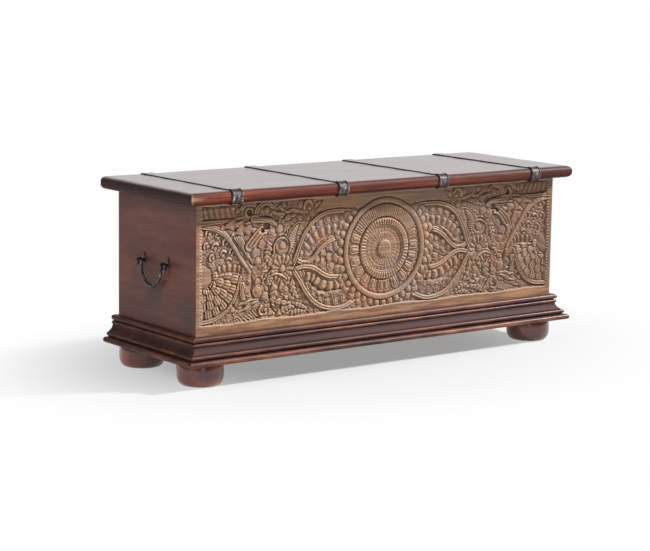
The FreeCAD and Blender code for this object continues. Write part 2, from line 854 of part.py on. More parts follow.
def bail():
    """Round iron drop handle: hooked ends, straight through the eyes, U."""
    x = -half_width - eye_standoff
    half = eye_spacing / 2
    stub = eye_width / 2 + bail_eye_play
    arm = half - stub - bail_bend_radius
    bend = bail_bend_radius
    low = handle_height - (bail_drop - arm)

    def at(y, z):
        return V(x, handle_y + y, z)

    def quarter(centre_y, centre_z, from_angle, to_angle, radius):
        points = []
        for angle in (from_angle, (from_angle + to_angle) / 2, to_angle):
            turn = math.radians(angle)
            points.append(at(centre_y + radius * math.cos(turn),
                             centre_z + radius * math.sin(turn)))
        return Part.Arc(*points).toShape()

    level = handle_height - bend
    hook_y = half + stub + bend
    hook_low = level - bail_hook_length
    edges = [Part.makeLine(at(-hook_y, hook_low), at(-hook_y, level)),
             quarter(-half - stub, level, 180, 90, bend),
             Part.makeLine(at(-half - stub, handle_height),
                           at(-half + stub, handle_height)),
             quarter(-half + stub, level, 90, 0, bend),
             Part.makeLine(at(-arm, level), at(-arm, low)),
             quarter(0, low, 180, 360, arm),
             Part.makeLine(at(arm, low), at(arm, level)),
             quarter(half - stub, level, 180, 90, bend),
             Part.makeLine(at(half - stub, handle_height),
                           at(half + stub, handle_height)),
             quarter(half + stub, level, 90, 0, bend),
             Part.makeLine(at(hook_y, level), at(hook_y, hook_low))]
    path = Part.Wire(edges)
    section = Part.Wire(Part.makeCircle(bail_rod_radius,
                                        at(-hook_y, hook_low), Z))
    solid = path.makePipeShell([section], True, False)
    expected = math.pi * bail_rod_radius ** 2 * path.Length
    print("bail volume over section times length",
          round(solid.Volume / expected, 4))
    for y in (-hook_y, hook_y):
        solid = solid.fuse(Part.makeSphere(bail_rod_radius, at(y, hook_low)))
    return solid.removeSplitter()


# Write every piece
export("carved_front", carved_front())
left_side = side_board()
export("side_left", left_side)
export("side_right", mirrored(left_side))
export("back_panel", back_board())
export("bottom_board", block(-inner_x, inner_x, inner_front_y, inner_back_y,
                             bottom_under, bottom_under + bottom_thickness))

cleat_low = bottom_under - cleat_height
cleat_x = inner_x - foot_block_size
cleat_front_y = inner_front_y + foot_block_size
cleat_back_y = inner_back_y - foot_block_size
export("cleat_front", block(-cleat_x, cleat_x, inner_front_y,
                            inner_front_y + cleat_width,
                            cleat_low, bottom_under))
export("cleat_back", block(-cleat_x, cleat_x, inner_back_y - cleat_width,
                           inner_back_y, cleat_low, bottom_under))
left_cleat = block(-inner_x, -inner_x + cleat_width, cleat_front_y,
                   cleat_back_y, cleat_low, bottom_under)
export("cleat_left", left_cleat)
export("cleat_right", mirrored(left_cleat))

for side, side_name in ((-1, "left"), (1, "right")):
    for end, end_name in ((-1, "front"), (1, "back")):
        corner_name = end_name + "_" + side_name
        export("foot_block_" + corner_name, foot_block(side, end))
        export("foot_" + corner_name, foot(side, end))

export("plinth_front", plinth_front())
left_plinth = plinth_side()
export("plinth_left", left_plinth)
export("plinth_right", mirrored(left_plinth))
export("plinth_back", block(-half_width, half_width, back_y,
                            back_y + plinth_back_thickness,
                            foot_height, plinth_top))

export("lid_board", lid_board())
for strap_name, strap_x in strap_places.items():
    export("strap_" + strap_name, strap(strap_x))
front_nails, back_nails = strap_nail_places()
export("strap_nails_front",
       [pin_solid(place, V(0, -1, 0), nail_head_radius, nail_head_rise,
                  nail_radius, nail_length) for place in front_nails])
export("strap_nails_back",
       [pin_solid(place, Y, nail_head_radius, nail_head_rise,
                  nail_radius, nail_length) for place in back_nails])

export("hinge_case_leaves", [case_leaf(x) for x in hinge_places])
export("hinge_lid_leaves", [lid_leaf(x) for x in hinge_places])
export("hinge_pins", [hinge_pin(x) for x in hinge_places])
case_screws, lid_screws = hinge_screw_places()
export("hinge_case_screws",
       [pin_solid(place, Y, screw_head_radius, screw_head_rise,
                  screw_radius, screw_length) for place in case_screws])
export("hinge_lid_screws",
       [pin_solid(place, V(0, 0, -1), screw_head_radius, screw_head_rise,
                  screw_radius, screw_length) for place in lid_screws])

eye_shifts = (-eye_spacing / 2, eye_spacing / 2)
handle_pieces = {"handle_eyes": [handle_eye(y) for y in eye_shifts],
                 "rose_plates": [rose_plate(y) for y in eye_shifts],
                 "handle_washers": [handle_washer(y) for y in eye_shifts]}
for name, solids in handle_pieces.items():
    export(name + "_left", solids)
    export(name + "_right", [mirrored(solid) for solid in solids])
left_bail = bail()
export("bail_left", left_bail)
export("bail_right", mirrored(left_bail))
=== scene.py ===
# %% [markdown]
# # A carved storage chest with an iron-strapped lid
#
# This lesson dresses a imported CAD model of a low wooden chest. The CAD parts are the fixed
# frame: they give every place and size. Here we make the surfaces that the frame only
# stands for, such as the deep carving, and the finishes: worn stain, wax and old iron.
# Lengths are in metres, as in Blender, and Z is up. The carved front faces -Y.

import json
import math

import bmesh
import bpy
import numpy as np
from mathutils import Matrix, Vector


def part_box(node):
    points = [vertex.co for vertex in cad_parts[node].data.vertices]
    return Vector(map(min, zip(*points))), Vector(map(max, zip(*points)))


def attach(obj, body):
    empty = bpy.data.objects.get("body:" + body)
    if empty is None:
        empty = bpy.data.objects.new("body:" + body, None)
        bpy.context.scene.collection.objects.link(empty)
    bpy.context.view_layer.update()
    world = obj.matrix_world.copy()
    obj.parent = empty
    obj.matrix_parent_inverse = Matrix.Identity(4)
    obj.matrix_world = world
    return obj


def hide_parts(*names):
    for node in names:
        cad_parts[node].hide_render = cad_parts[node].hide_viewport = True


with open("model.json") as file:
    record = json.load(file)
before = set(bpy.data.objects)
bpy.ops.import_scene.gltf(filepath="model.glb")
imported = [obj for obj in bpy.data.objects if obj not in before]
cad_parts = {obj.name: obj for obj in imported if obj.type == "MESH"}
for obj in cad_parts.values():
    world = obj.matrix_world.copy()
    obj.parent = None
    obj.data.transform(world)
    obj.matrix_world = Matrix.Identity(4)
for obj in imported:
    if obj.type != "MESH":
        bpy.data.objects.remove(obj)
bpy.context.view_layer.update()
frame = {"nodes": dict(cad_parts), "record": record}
MM = 0.001

front_low, front_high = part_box("carved_front")
lid_low, lid_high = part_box("lid_board")
plinth_low, plinth_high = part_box("plinth_front")
HALF_WIDTH = front_high.x
FRONT_Y = front_low.y
FRONT_TOP = front_high.z
BOARD = front_high.y - front_low.y
PLINTH_TOP = plinth_high.z
PLINTH_BASE = plinth_low.z
PLINTH_OUT = FRONT_Y - plinth_low.y

# %% [markdown]
# ## Numbers for pictures
#
# Blender's shaders work with linear light, and a colour on a screen isn't linear. We name
# every colour as it looks on a screen and turn it into linear light in one place. Random
# wobbles come from one seeded generator, so the chest is the same on every run.


# %% Colours and seeded chance
chance = np.random.default_rng(1127)


def stain(red, green, blue):
    """Screen colour (0 to 255) as linear light: ((c + 0.055) / 1.055) ** 2.4."""
    screen = np.array([red, green, blue]) / 255
    linear = ((screen + 0.055) / 1.055) ** 2.4
    return (*linear.tolist(), 1.0)


print("middle grey in linear light", round(stain(128, 128, 128)[0], 3))


# %% [markdown]
# ## Shader maths written as sums
#
# A material is a graph of nodes. Placing each Math node by hand hides the idea, so we wrap
# a socket in a small class whose operators add the nodes: `1 - wear * 0.5` adds two. Any
# other node comes from one method that takes its type, settings and sockets. The world has
# such a graph as well, so that method has a class of its own.


# %% A socket that can be summed
class Term:
    """A socket's value in a sum; each operator adds one Math node to its graph."""

    def __init__(self, graph, socket):
        self.graph, self.socket = graph, socket

    def maths(self, operation, *values):
        """One Math node with the given values or terms in its sockets, in order."""
        sockets = dict(enumerate(values))
        return self.graph.node("ShaderNodeMath", {"operation": operation}, sockets)

    def __add__(self, other):
        return self.maths("ADD", self, other)

    def __sub__(self, other):
        return self.maths("SUBTRACT", self, other)

    def __rsub__(self, other):
        return self.maths("SUBTRACT", other, self)

    def __mul__(self, other):
        return self.maths("MULTIPLY", self, other)

    def __truediv__(self, other):
        return self.maths("DIVIDE", self, other)

    def __pow__(self, other):
        return self.maths("POWER", self, other)

    __radd__ = __add__
    __rmul__ = __mul__

    def rising(self, low, high):
        """0 below low, 1 above high, smooth between; falls if high is lower."""
        ways = {"interpolation_type": "SMOOTHSTEP"}
        ends = {0: self, 1: min(low, high), 2: max(low, high)}
        ends.update({3: 0.0, 4: 1.0} if low < high else {3: 1.0, 4: 0.0})
        return self.graph.node("ShaderNodeMapRange", ways, ends)


# %% A graph of nodes, and a material made of one
class Graph:
    """The emptied node tree of a material or a world."""

    def __init__(self, owner):
        owner.use_nodes = True
        self.tree = owner.node_tree
        self.tree.nodes.clear()

    def node(self, kind, settings=None, sockets=None, output=0):
        """Adds a node, sets it, then fills its sockets; gives back one output."""
        made = self.tree.nodes.new(kind)
        for key, value in (settings or {}).items():
            setattr(made, key, value)
        for key, value in (sockets or {}).items():
            if isinstance(value, Term):
                self.tree.links.new(value.socket, made.inputs[key])
            else:
                made.inputs[key].default_value = value
        return Term(self, made.outputs[output]) if made.outputs else None


class Finish(Graph):
    """A material that is being mixed."""

    def __init__(self, name):
        self.material = bpy.data.materials.new(name)
        super().__init__(self.material)
        self.place = self.node("ShaderNodeTexCoord", output="Object")
        self.x, self.y, self.z = (
            self.node("ShaderNodeSeparateXYZ", {}, {0: self.place}, axis)
            for axis in "XYZ")

    def noise(self, stretch, detail=3.0, rough=0.55, shift=(0.0, 0.0, 0.0)):
        """Noise about 0.5; stretch is how many ripples a metre has along x, y, z."""
        where = self.node("ShaderNodeMapping", {},
                          {0: self.place, "Location": shift, "Scale": stretch})
        return self.node("ShaderNodeTexNoise", {},
                         {"Vector": where, "Scale": 1.0, "Detail": detail,
                          "Roughness": rough})

    def attribute(self, name):
        """A number that the mesh carries for each vertex."""
        return self.node("ShaderNodeAttribute", {"attribute_name": name}, {}, "Fac")

    def mix(self, share, under, over, way="MIX"):
        """Colour under, with a share of colour over."""
        settings = {"data_type": "RGBA", "blend_type": way}
        return self.node("ShaderNodeMix", settings, {0: share, 6: under, 7: over}, 2)

    def bumps(self, height, depth, strength=1.0):
        """Surface direction bent by a height of 0 to 1, depth metres deep."""
        return self.node("ShaderNodeBump", {}, {"Height": height, "Distance": depth,
                                                "Strength": strength})

    def done(self, colour, rough, normal=None, **plain):
        """Joins everything to the shader; plain holds sockets with fixed values."""
        sockets = {"Base Color": colour, "Roughness": rough}
        if normal is not None:
            sockets["Normal"] = normal
        sockets.update({key.replace("_", " "): v for key, v in plain.items()})
        shader = self.node("ShaderNodeBsdfPrincipled", {}, sockets)
        self.node("ShaderNodeOutputMaterial", {}, {0: shader})
        return self.material


# %% [markdown]
# ## Meshes from whole arrays
#
# Most new pieces are tubes in the widest sense: a closed outline carried along a path, with
# both ends capped. We fill the mesh from arrays in one go, because a loop over so many
# points would be slow. The signed volume says whether the faces point outwards, and the
# function turns them all if they don't.


# %% From arrays to a mesh
def tube_quads(stations, around):
    """Quads that join each closed ring of points to the next one along the path."""
    ring = np.arange(stations - 1)[:, None] * around
    here = np.arange(around)[None, :]
    beside = (here + 1) % around
    return np.stack([ring + here, ring + beside, ring + around + beside,
                     ring + around + here], axis=-1).reshape(-1, 4)


def signed_volume(points, quads):
    """Sum over triangles of a . (b x c) / 6, positive when faces point outwards."""
    middle = points.mean(0)
    a, b, c, d = (points[quads[:, i]] - middle for i in range(4))
    once = np.einsum("ij,ij->i", a, np.cross(b, c))
    return (once + np.einsum("ij,ij->i", a, np.cross(c, d))).sum() / 6


def new_piece(name, points, quads, caps, body, nodes, sharp=40.0):
    """Mesh piece from arrays, riding on a body and standing for CAD nodes."""
    if signed_volume(points, quads) < 0:
        quads = quads[:, ::-1]
        caps = [cap[::-1] for cap in caps]
    corners = np.concatenate([quads.ravel(), *caps])
    sizes = [4] * len(quads) + [len(cap) for cap in caps]
    starts = np.concatenate([[0], np.cumsum(sizes)[:-1]])
    mesh = bpy.data.meshes.new(name)
    mesh.vertices.add(len(points))
    mesh.vertices.foreach_set("co", points.astype(np.float32).ravel())
    mesh.loops.add(len(corners))
    mesh.loops.foreach_set("vertex_index", corners.astype(np.int32))
    mesh.polygons.add(len(starts))
    mesh.polygons.foreach_set("loop_start", starts.astype(np.int32))
    mesh.update(calc_edges=True)
    mesh.shade_smooth()
    mesh.set_sharp_from_angle(angle=math.radians(sharp))
    piece = bpy.data.objects.new(name, mesh)
    bpy.context.scene.collection.objects.link(piece)
    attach(piece, body)
    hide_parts(*nodes)
    return piece


def tube_piece(name, rings, body, nodes, sharp=40.0):
    """A closed outline at each station (stations x around x 3), capped at both ends."""
    stations, around = rings.shape[:2]
    first = np.arange(around)[::-1]
    last = np.arange(around) + (stations - 1) * around
    return new_piece(name, rings.reshape(-1, 3), tube_quads(stations, around),
                     [first, last], body, nodes, sharp)


def tag(piece, name, values):
    """Stores one number for each vertex, for a material to read."""
    layer = piece.data.attributes.new(name, "FLOAT", "POINT")
    layer.data.foreach_set("value", np.asarray(values, np.float32).ravel())


print("quads in a tube of three rings of four points", len(tube_quads(3, 4)))


# %% [markdown]
# ## The camera
#
# The picture was taken from the left, a little above the lid, with a long lens. The place
# and the turn come from fitting the chest's edges: yaw from +Y towards +X, pitch down,
# and a slight roll.

# %% Camera
LENS, SENSOR_WIDTH = 115.0, 36.0
CAMERA_PLACE = (-3.0845, -4.0123, 1.0225)
yaw, pitch, roll = 0.6463, 0.1632, 0.0150

ahead = np.array([math.sin(yaw) * math.cos(pitch), math.cos(yaw) * math.cos(pitch),
                  -math.sin(pitch)])
level = np.array([math.cos(yaw), -math.sin(yaw), 0.0])
upright = np.cross(level, ahead)
rightward = level * math.cos(roll) + upright * math.sin(roll)
upward = upright * math.cos(roll) - level * math.sin(roll)
turn = Matrix(np.column_stack([rightward, upward, -ahead]).tolist()).to_4x4()

camera_data = bpy.data.cameras.new("camera")
camera_data.lens = LENS
camera_data.sensor_width = SENSOR_WIDTH
camera_data.clip_end = 200.0
camera = bpy.data.objects.new("camera", camera_data)
camera.matrix_world = Matrix.Translation(CAMERA_PLACE) @ turn
bpy.context.scene.collection.objects.link(camera)
bpy.context.scene.camera = camera
print("camera", CAMERA_PLACE, "lens", LENS)

# %% [markdown]
# ## Floor, world and lamps
#
# The chest stands on a pale floor that runs out into white. The white is only what the
# camera and the reflections see: the world's own light stays plain, so the wood keeps its
# colour. Close to the chest the floor is an ordinary matt surface and keeps the shadow.

# %% Stage
FLOOR_SIZE, FLOOR_Z = 30.0, -0.3 * MM
KEY_PLACE, KEY_SIZE, KEY_POWER = (9.0, -4.0, 7.2), 1.3, 2700.0
FILL_PLACE, FILL_SIZE, FILL_POWER = (-3.4, -0.4, 2.2), 2.2, 52.0
LOW_PLACE, LOW_SIZE, LOW_POWER = (-1.6, -3.4, 0.6), 0.9, 4.0
LAMPS_AIM = (0.0, 0.0, 0.25)
WORLD_LIGHT = 0.06
DARK_SIDE = 0.12
SHADOWLESS = 0.32
WHITE_FROM, WHITE_AT = 0.22, 0.8


def stage_floor():
    """A square floor, a hair below the feet. To the camera a share of it glows white:
    SHADOWLESS near the chest, rising to 1 at sqrt(0.55 x^2 + y^2) = WHITE_AT."""
    half = FLOOR_SIZE / 2
    corners = [(-half, -half, FLOOR_Z), (half, -half, FLOOR_Z), (half, half, FLOOR_Z),
               (-half, half, FLOOR_Z)]
    mesh = bpy.data.meshes.new("floor")
    mesh.from_pydata(corners, [], [(0, 1, 2, 3)])
    floor = bpy.data.objects.new("floor", mesh)
    bpy.context.scene.collection.objects.link(floor)
    finish = Finish("pale_floor")
    away = (finish.x ** 2 * 0.55 + finish.y ** 2) ** 0.5
    white = SHADOWLESS + (1 - SHADOWLESS) * away.rising(WHITE_FROM, WHITE_AT)
    matt = finish.node("ShaderNodeBsdfDiffuse", {}, {"Color": stain(206, 206, 207)})
    glow = finish.node("ShaderNodeEmission", {}, {"Color": (1, 1, 1, 1),
                                                  "Strength": 1.0})
    seen = finish.node("ShaderNodeLightPath", output="Is Camera Ray")
    mirrored = finish.node("ShaderNodeLightPath", output="Is Glossy Ray")
    through = finish.node("ShaderNodeLightPath", output="Is Transmission Ray")
    looking = (seen + mirrored + through).rising(0.0, 1.0)
    both = finish.node("ShaderNodeMixShader", {}, {0: white * looking, 1: matt,
                                                   2: glow})
    finish.node("ShaderNodeOutputMaterial", {}, {0: both})
    mesh.materials.append(finish.material)


def stage_world():
    """White to the camera, also through glass, and plain grey-white light all round.
    Reflections see white behind the chest and a darker studio, DARK_SIDE, on the camera's
    side."""
    world = bpy.data.worlds.new("studio")
    bpy.context.scene.world = world
    sky = Graph(world)
    seen = sky.node("ShaderNodeLightPath", output="Is Camera Ray")
    through = sky.node("ShaderNodeLightPath", output="Is Transmission Ray")
    mirrored = sky.node("ShaderNodeLightPath", output="Is Glossy Ray")
    way = sky.node("ShaderNodeTexCoord", output="Generated")
    across = sky.node("ShaderNodeSeparateXYZ", {}, {0: way}, "X")
    beyond = sky.node("ShaderNodeSeparateXYZ", {}, {0: way}, "Y")
    forward = across * math.sin(yaw) + beyond * math.cos(yaw)
    studio = sky.node("ShaderNodeMapRange", {},
                      {0: forward, 1: 0.5, 2: 0.9, 3: DARK_SIDE, 4: 1.0})
    light = sky.node("ShaderNodeMix", {}, {0: mirrored, 2: WORLD_LIGHT, 3: studio})
    light = sky.node("ShaderNodeMix", {}, {0: seen + through, 2: light, 3: 1.0})
    glow = sky.node("ShaderNodeBackground", {}, {0: (1, 1, 1, 1), 1: light})
    sky.node("ShaderNodeOutputWorld", {}, {0: glow})


def stage_lamp(name, place, size, power):
    """A square soft box that points at the middle of the chest."""
    data = bpy.data.lights.new(name, "AREA")
    data.size, data.energy = size, power
    lamp = bpy.data.objects.new(name, data)
    lamp.location = place
    aim = Matrix.Translation(LAMPS_AIM).translation - lamp.location
    lamp.rotation_euler = aim.to_track_quat("-Z", "Y").to_euler()
    bpy.context.scene.collection.objects.link(lamp)


stage_floor()
stage_world()
stage_lamp("key", KEY_PLACE, KEY_SIZE, KEY_POWER)
stage_lamp("fill", FILL_PLACE, FILL_SIZE, FILL_POWER)
stage_lamp("low", LOW_PLACE, LOW_SIZE, LOW_POWER)
bpy.context.scene.view_settings.view_transform = "Standard"

# %% [markdown]
# ## The carved front: how the pattern is drawn
#
# On the real chest a carver sinks the ground about 9 mm and leaves the pattern standing.
# We do the same with numbers. The pattern lives on a grid, where 0 is the deepest cut and
# 1 is the face of the board. Every motif is a formula for how far a point is inside its
# outline. Stamping a motif first cuts a thin line round it and then lays its own height
# in, so what is stamped later lies on top. Only the left half is drawn: the carver used
# the same template, turned over, for the right half.
#
# The drawing's lengths are millimetres, and the board takes it at DRAWN of its size. PITCH
# is the grid's step, MOAT the width of the cut round a motif, and EASE how far in from its
# edge a motif is rounded.

# %% The pattern's grid and the stamp
DRAWN = 0.95
PITCH = 0.8
MOAT = 1.5
EASE = 4.5
carving_x = np.arange(-572.0, 0.5 * PITCH, PITCH)
carving_z = np.arange(118.0, 446.0, PITCH)
PX, PZ = np.meshgrid(carving_x, carving_z)
relief = np.zeros_like(PX)
print("drawing grid", relief.shape)


def window(low_x, high_x, low_z, high_z):
    """Rows and columns of the grid that hold a rectangle of the drawing."""
    edge = MOAT + PITCH
    columns = slice(max(0, int((low_x - edge - carving_x[0]) / PITCH)),
                    max(0, int((high_x + edge - carving_x[0]) / PITCH) + 1))
    rows = slice(max(0, int((low_z - edge - carving_z[0]) / PITCH)),
                 max(0, int((high_z + edge - carving_z[0]) / PITCH) + 1))
    return rows, columns


def stamp(spot, inside, height, moat=MOAT, floor=0.36):
    """Outside, what was there sinks over the moat to a share of its height. Inside, the
    motif's height with a rounded edge: 0.45 + 0.55 sqrt(1 - (1 - inside / ease)^2)."""
    fall = floor + (1 - floor) * np.clip(-inside / moat, 0, 1)
    rounded = np.sqrt(1 - (1 - np.clip(inside / EASE, 0, 1)) ** 2)
    relief[spot] = np.where(inside > 0, height * (0.45 + 0.55 * rounded),
                            relief[spot] * fall)


# %% [markdown]
# ## Curves
#
# Bands and leaves follow curves through a few listed points. Bezier curves would need
# handles as well; a Catmull-Rom curve passes through its points and is smooth without
# them. For each grid point we need the distance to the curve, how far along it the nearest
# place is, and the side that the point lies on.


# %% Curves through a few points
def curve(points, per_span=7):
    """Catmull-Rom curve: on each span from p1 to p2, with neighbours p0 and p3, half of
    2 p1 + (p2 - p0) t + (2 p0 - 5 p1 + 4 p2 - p3) t^2 + (3 p1 - p0 - 3 p2 + p3) t^3."""
    p = np.array(points, float)
    p = np.vstack([2 * p[0] - p[1], p, 2 * p[-1] - p[-2]])
    t = np.linspace(0, 1, per_span, endpoint=False)[:, None, None]
    p0, p1, p2, p3 = p[:-3], p[1:-2], p[2:-1], p[3:]
    bend_shade = (2 * p1 + (p2 - p0) * t + (2 * p0 - 5 * p1 + 4 * p2 - p3) * t ** 2
            + (3 * p1 - p0 - 3 * p2 + p3) * t ** 3) / 2
    return np.vstack([bend_shade.transpose(1, 0, 2).reshape(-1, 2), p[-2]])


def near_curve(path, reach):
    """Window round a path, and there: distance, share of length, signed distance."""
    spot = window(path[:, 0].min() - reach, path[:, 0].max() + reach,
                  path[:, 1].min() - reach, path[:, 1].max() + reach)
    x, z = PX[spot][..., None], PZ[spot][..., None]
    step = np.diff(path, axis=0)
    length = np.hypot(step[:, 0], step[:, 1])
    run = np.clip(((x - path[:-1, 0]) * step[:, 0] + (z - path[:-1, 1]) * step[:, 1])
                  / length ** 2, 0, 1)
    off_x = x - path[:-1, 0] - run * step[:, 0]
    off_z = z - path[:-1, 1] - run * step[:, 1]
    away = np.hypot(off_x, off_z)
    best = away.argmin(-1)[..., None]
    so_far = np.cumsum(length) - length
    share = (so_far + run * length) / length.sum()
    side = np.sign(off_z * step[:, 0] - off_x * step[:, 1])
    away, share, side = (np.take_along_axis(a, best, -1)[..., 0]
                         for a in (away, share, side))
    return spot, away, share, side * away


print("points on a curve through four", len(curve([(0, 0), (9, 5), (20, 3), (30, 9)])))


# %% [markdown]
# ## Motifs
#
# The carver's alphabet is small: a bud, strands that run side by side, a leaf, a curl, a
# deep cut, a ring of petals and a fringe along a curve. Everything on the front is written
# with these.


# %% Buds, strands, leaves and deep cuts
def bud(x, z, radius, top=0.85, groove=0.0, moat=MOAT, floor=0.36, tilt=0.4):
    """Dome: top (0.6 + 0.4 sqrt(1 - r^2)), times 1 - tilt (0.5 + 0.36 (east + north)), so
    its upper right lies lower, with a ring of depth groove cut at r = 0.58. On a high bud
    over 9 mm fine cuts, 0.15 r ((1 + cos 13 a) / 2)^2, fan out from its lower left."""
    spot = window(x - radius, x + radius, z - radius, z + radius)
    east, north = (PX[spot] - x) / radius, (PZ[spot] - z) / radius
    away = np.hypot(east, north)
    height = top * (0.6 + 0.4 * np.sqrt(np.clip(1 - away ** 2, 0, 1)))
    height = height * (1 - tilt * (0.5 + 0.36 * (east + north)))
    if radius > 9 and top > 0.5:
        fan = np.arctan2(north + 0.8, east + 0.8)
        height = height - 0.15 * (0.5 + 0.5 * np.cos(13 * fan)) ** 2 * np.clip(away, 0, 1)
    height = height - groove * np.exp(-((away - 0.58) / 0.12) ** 2)
    stamp(spot, (1 - away) * radius, height, moat, floor)


def strands(points, wide, count=1, top=0.92, tail=1.0, floor=0.36):
    """Ridges side by side along a curve: top (0.55 + 0.45 |sin(pi n (u + 1) / 2)|^0.8),
    where u goes from -1 to 1 across. From start to end the width goes from wide to
    tail * wide."""
    spot, away, share, side = near_curve(curve(points), wide / 2)
    half = wide / 2 * (1 + (tail - 1) * share)
    u = np.clip(side / half, -1, 1)
    ridges = np.abs(np.sin(np.pi * count * (u + 1) / 2)) ** 0.8
    stamp(spot, half - away, top * (0.55 + 0.45 * ridges), floor=floor)


def leaf(points, wide, top=0.8, veins=7, lobed=0.12, rib=0.16, slant=0.9):
    """Leaf about a curved midrib: half width wide / 2 sin(pi s^0.8) (1 + lobed cos p),
    where p = 2 pi (veins s - slant r / wide). It is domed across, its rib is sunk, and
    veins 0.34 ((1 - cos p) / 2)^2 deep slant out from the rib."""
    spot, away, share, _ = near_curve(curve(points), wide / 2 * (1 + lobed))
    share = np.clip(share, 0.002, 0.998)
    phase = 2 * np.pi * (veins * share - slant * away / wide)
    half = wide / 2 * np.sin(np.pi * share ** 0.8) * (1 + lobed * np.cos(phase))
    cross = np.clip(away / np.maximum(half, 0.1), 0, 1)
    height = top * (0.6 + 0.4 * (1 - cross ** 2)) - rib * np.exp(-(away / 1.5) ** 2)
    height = height - 0.34 * (0.5 + 0.5 * np.cos(phase + np.pi)) ** 2 * np.sqrt(cross)
    stamp(spot, half - away, height)


def curl(x, z, radius, start, sweep, wide, top=0.85):
    """Spiral strand whose radius shrinks to a third as it turns, ending in a bud."""
    heading = np.radians(np.linspace(start, start + sweep, 7))
    shrink = radius * np.linspace(1, 0.35, 7)
    points = np.column_stack([x + shrink * np.cos(heading), z + shrink * np.sin(heading)])
    strands(points, wide, 1, top)
    bud(points[-1, 0], points[-1, 1], wide * 0.7, top)


def deep_cut(points, wide, depth=0.85):
    """Cut along a curve: height times 1 - depth exp(-(2 r / wide)^2), thin at its ends."""
    spot, away, share, _ = near_curve(curve(points), wide * 1.2)
    thick = wide / 2 * np.sqrt(np.clip(np.sin(np.pi * share), 0.05, 1))
    relief[spot] *= 1 - depth * np.exp(-(away / thick) ** 2)


# %% Petals and fringes
# Where nothing is to show, a place counts as nine moats outside, too far to sink anything.
HIDDEN = -9.0


def tongue_inside(across, along, half, length):
    """How far inside a round-tipped tongue: half - |across| up to the tip's centre at
    length - half, and half - distance to that centre beyond it."""
    beyond = along - (length - half)
    side = half - np.abs(across)
    tip = half - np.hypot(across, beyond)
    return np.minimum(np.where(beyond > 0, tip, side), along)


def petals(x, z, inner, outer, count, top=0.85, turned=0.0, fill=0.94, nested=0.0,
           lift=0.0, arc=(-181.0, 181.0), moat=MOAT, floor=0.36, swell=0.25, lines=1,
           combed=0.0):
    """Ring of tongues between two radii, domed by a share swell. lines outlines, nested
    apart, are cut inside each; lift lets a tongue rise to its tip. combed is the depth of
    two cuts that run along it: (1 - cos(3 pi u)) / 2, with u from -1 to 1 across."""
    spot = window(x - outer, x + outer, z - outer, z + outer)
    east, north = PX[spot] - x, PZ[spot] - z
    radius = np.hypot(east, north)
    angle = np.degrees(np.arctan2(north, east))
    pitch = 360 / count
    middle = np.round((angle - turned) / pitch) * pitch + turned
    across = np.radians(angle - middle) * radius
    wide = np.radians(pitch / 2) * fill
    tip_half = wide * outer / (1 + wide)
    half = np.where(radius > outer - tip_half, tip_half, wide * radius)
    inside = tongue_inside(across, radius - inner, half, outer - inner)
    rise = np.clip((radius - inner) / (outer - inner), 0, 1)
    dome = np.sqrt(np.clip(inside / tip_half, 0, 1))
    height = top * (1 - swell + swell * dome) * (1 - lift + lift * rise)
    if nested:
        ripple = 0.5 - 0.5 * np.cos(2 * np.pi * inside / nested)
        height = height - 0.15 * lines * ripple ** 1.5 * (inside < lines * nested)
    if combed:
        u = np.clip(across / np.maximum(half, 0.1), -1, 1)
        height = height - combed * (0.5 - 0.5 * np.cos(3 * np.pi * u)) ** 1.5
    wrapped = (middle + 180) % 360 - 180
    inside = np.where((wrapped >= arc[0]) & (wrapped <= arc[1]), inside, HIDDEN * moat)
    stamp(spot, inside, height, moat, floor)


def fringe(points, deep, count, way=1, top=0.82, fill=0.94, nested=0.0, taper=0.0,
           lift=0.4, lean=0.0, floor=0.3):
    """Row of tongues on one side of a curve. Tongue k of count takes its share of the
    length, moved by lean per unit of distance; its reach is deep, less taper towards both
    ends of the row; lift lets it rise to its tip and nested cuts one outline inside."""
    path = curve(points)
    length = np.hypot(*np.diff(path, axis=0).T).sum()
    spot, _, share, side = near_curve(path, deep)
    pitch = length / count
    place = share * count + lean * side * way / pitch
    tongue = np.clip(np.floor(place), 0, count - 1)
    across = (place - tongue - 0.5) * pitch
    reach = deep * (1 - taper * np.abs(2 * (tongue + 0.5) / count - 1))
    half = pitch / 2 * fill
    inside = tongue_inside(across, side * way, half, reach)
    ends = (share > 0.0005) & (share < 0.9995)
    rise = np.clip(side * way / reach, 0, 1)
    height = top * (0.72 + 0.28 * np.sqrt(np.clip(inside / half, 0, 1)))
    height = height * (1 - lift + lift * rise)
    if nested:
        ripple = 0.5 - 0.5 * np.cos(2 * np.pi * inside / nested)
        height = height - 0.18 * ripple ** 1.5 * (inside < nested)
    stamp(spot, np.where(ends, inside, HIDDEN * MOAT), height, floor=floor)


# %% [markdown]
# ## Ground cover
#
# Between the named motifs the real carving is packed with small overlapping leaves. A cheap
# way to such a texture is to scatter seeds and lay a disc about each one over its
# neighbours, row by row, like roof tiles. Outlines are cut inside each disc, of which its
# neighbours leave one or two to be seen. Where nothing is stamped later, this cover shows.


# %% Small lobes everywhere
COVER_X, COVER_Z, COVER_WIDE, COVER_HIGH = -580, 110, 600, 360


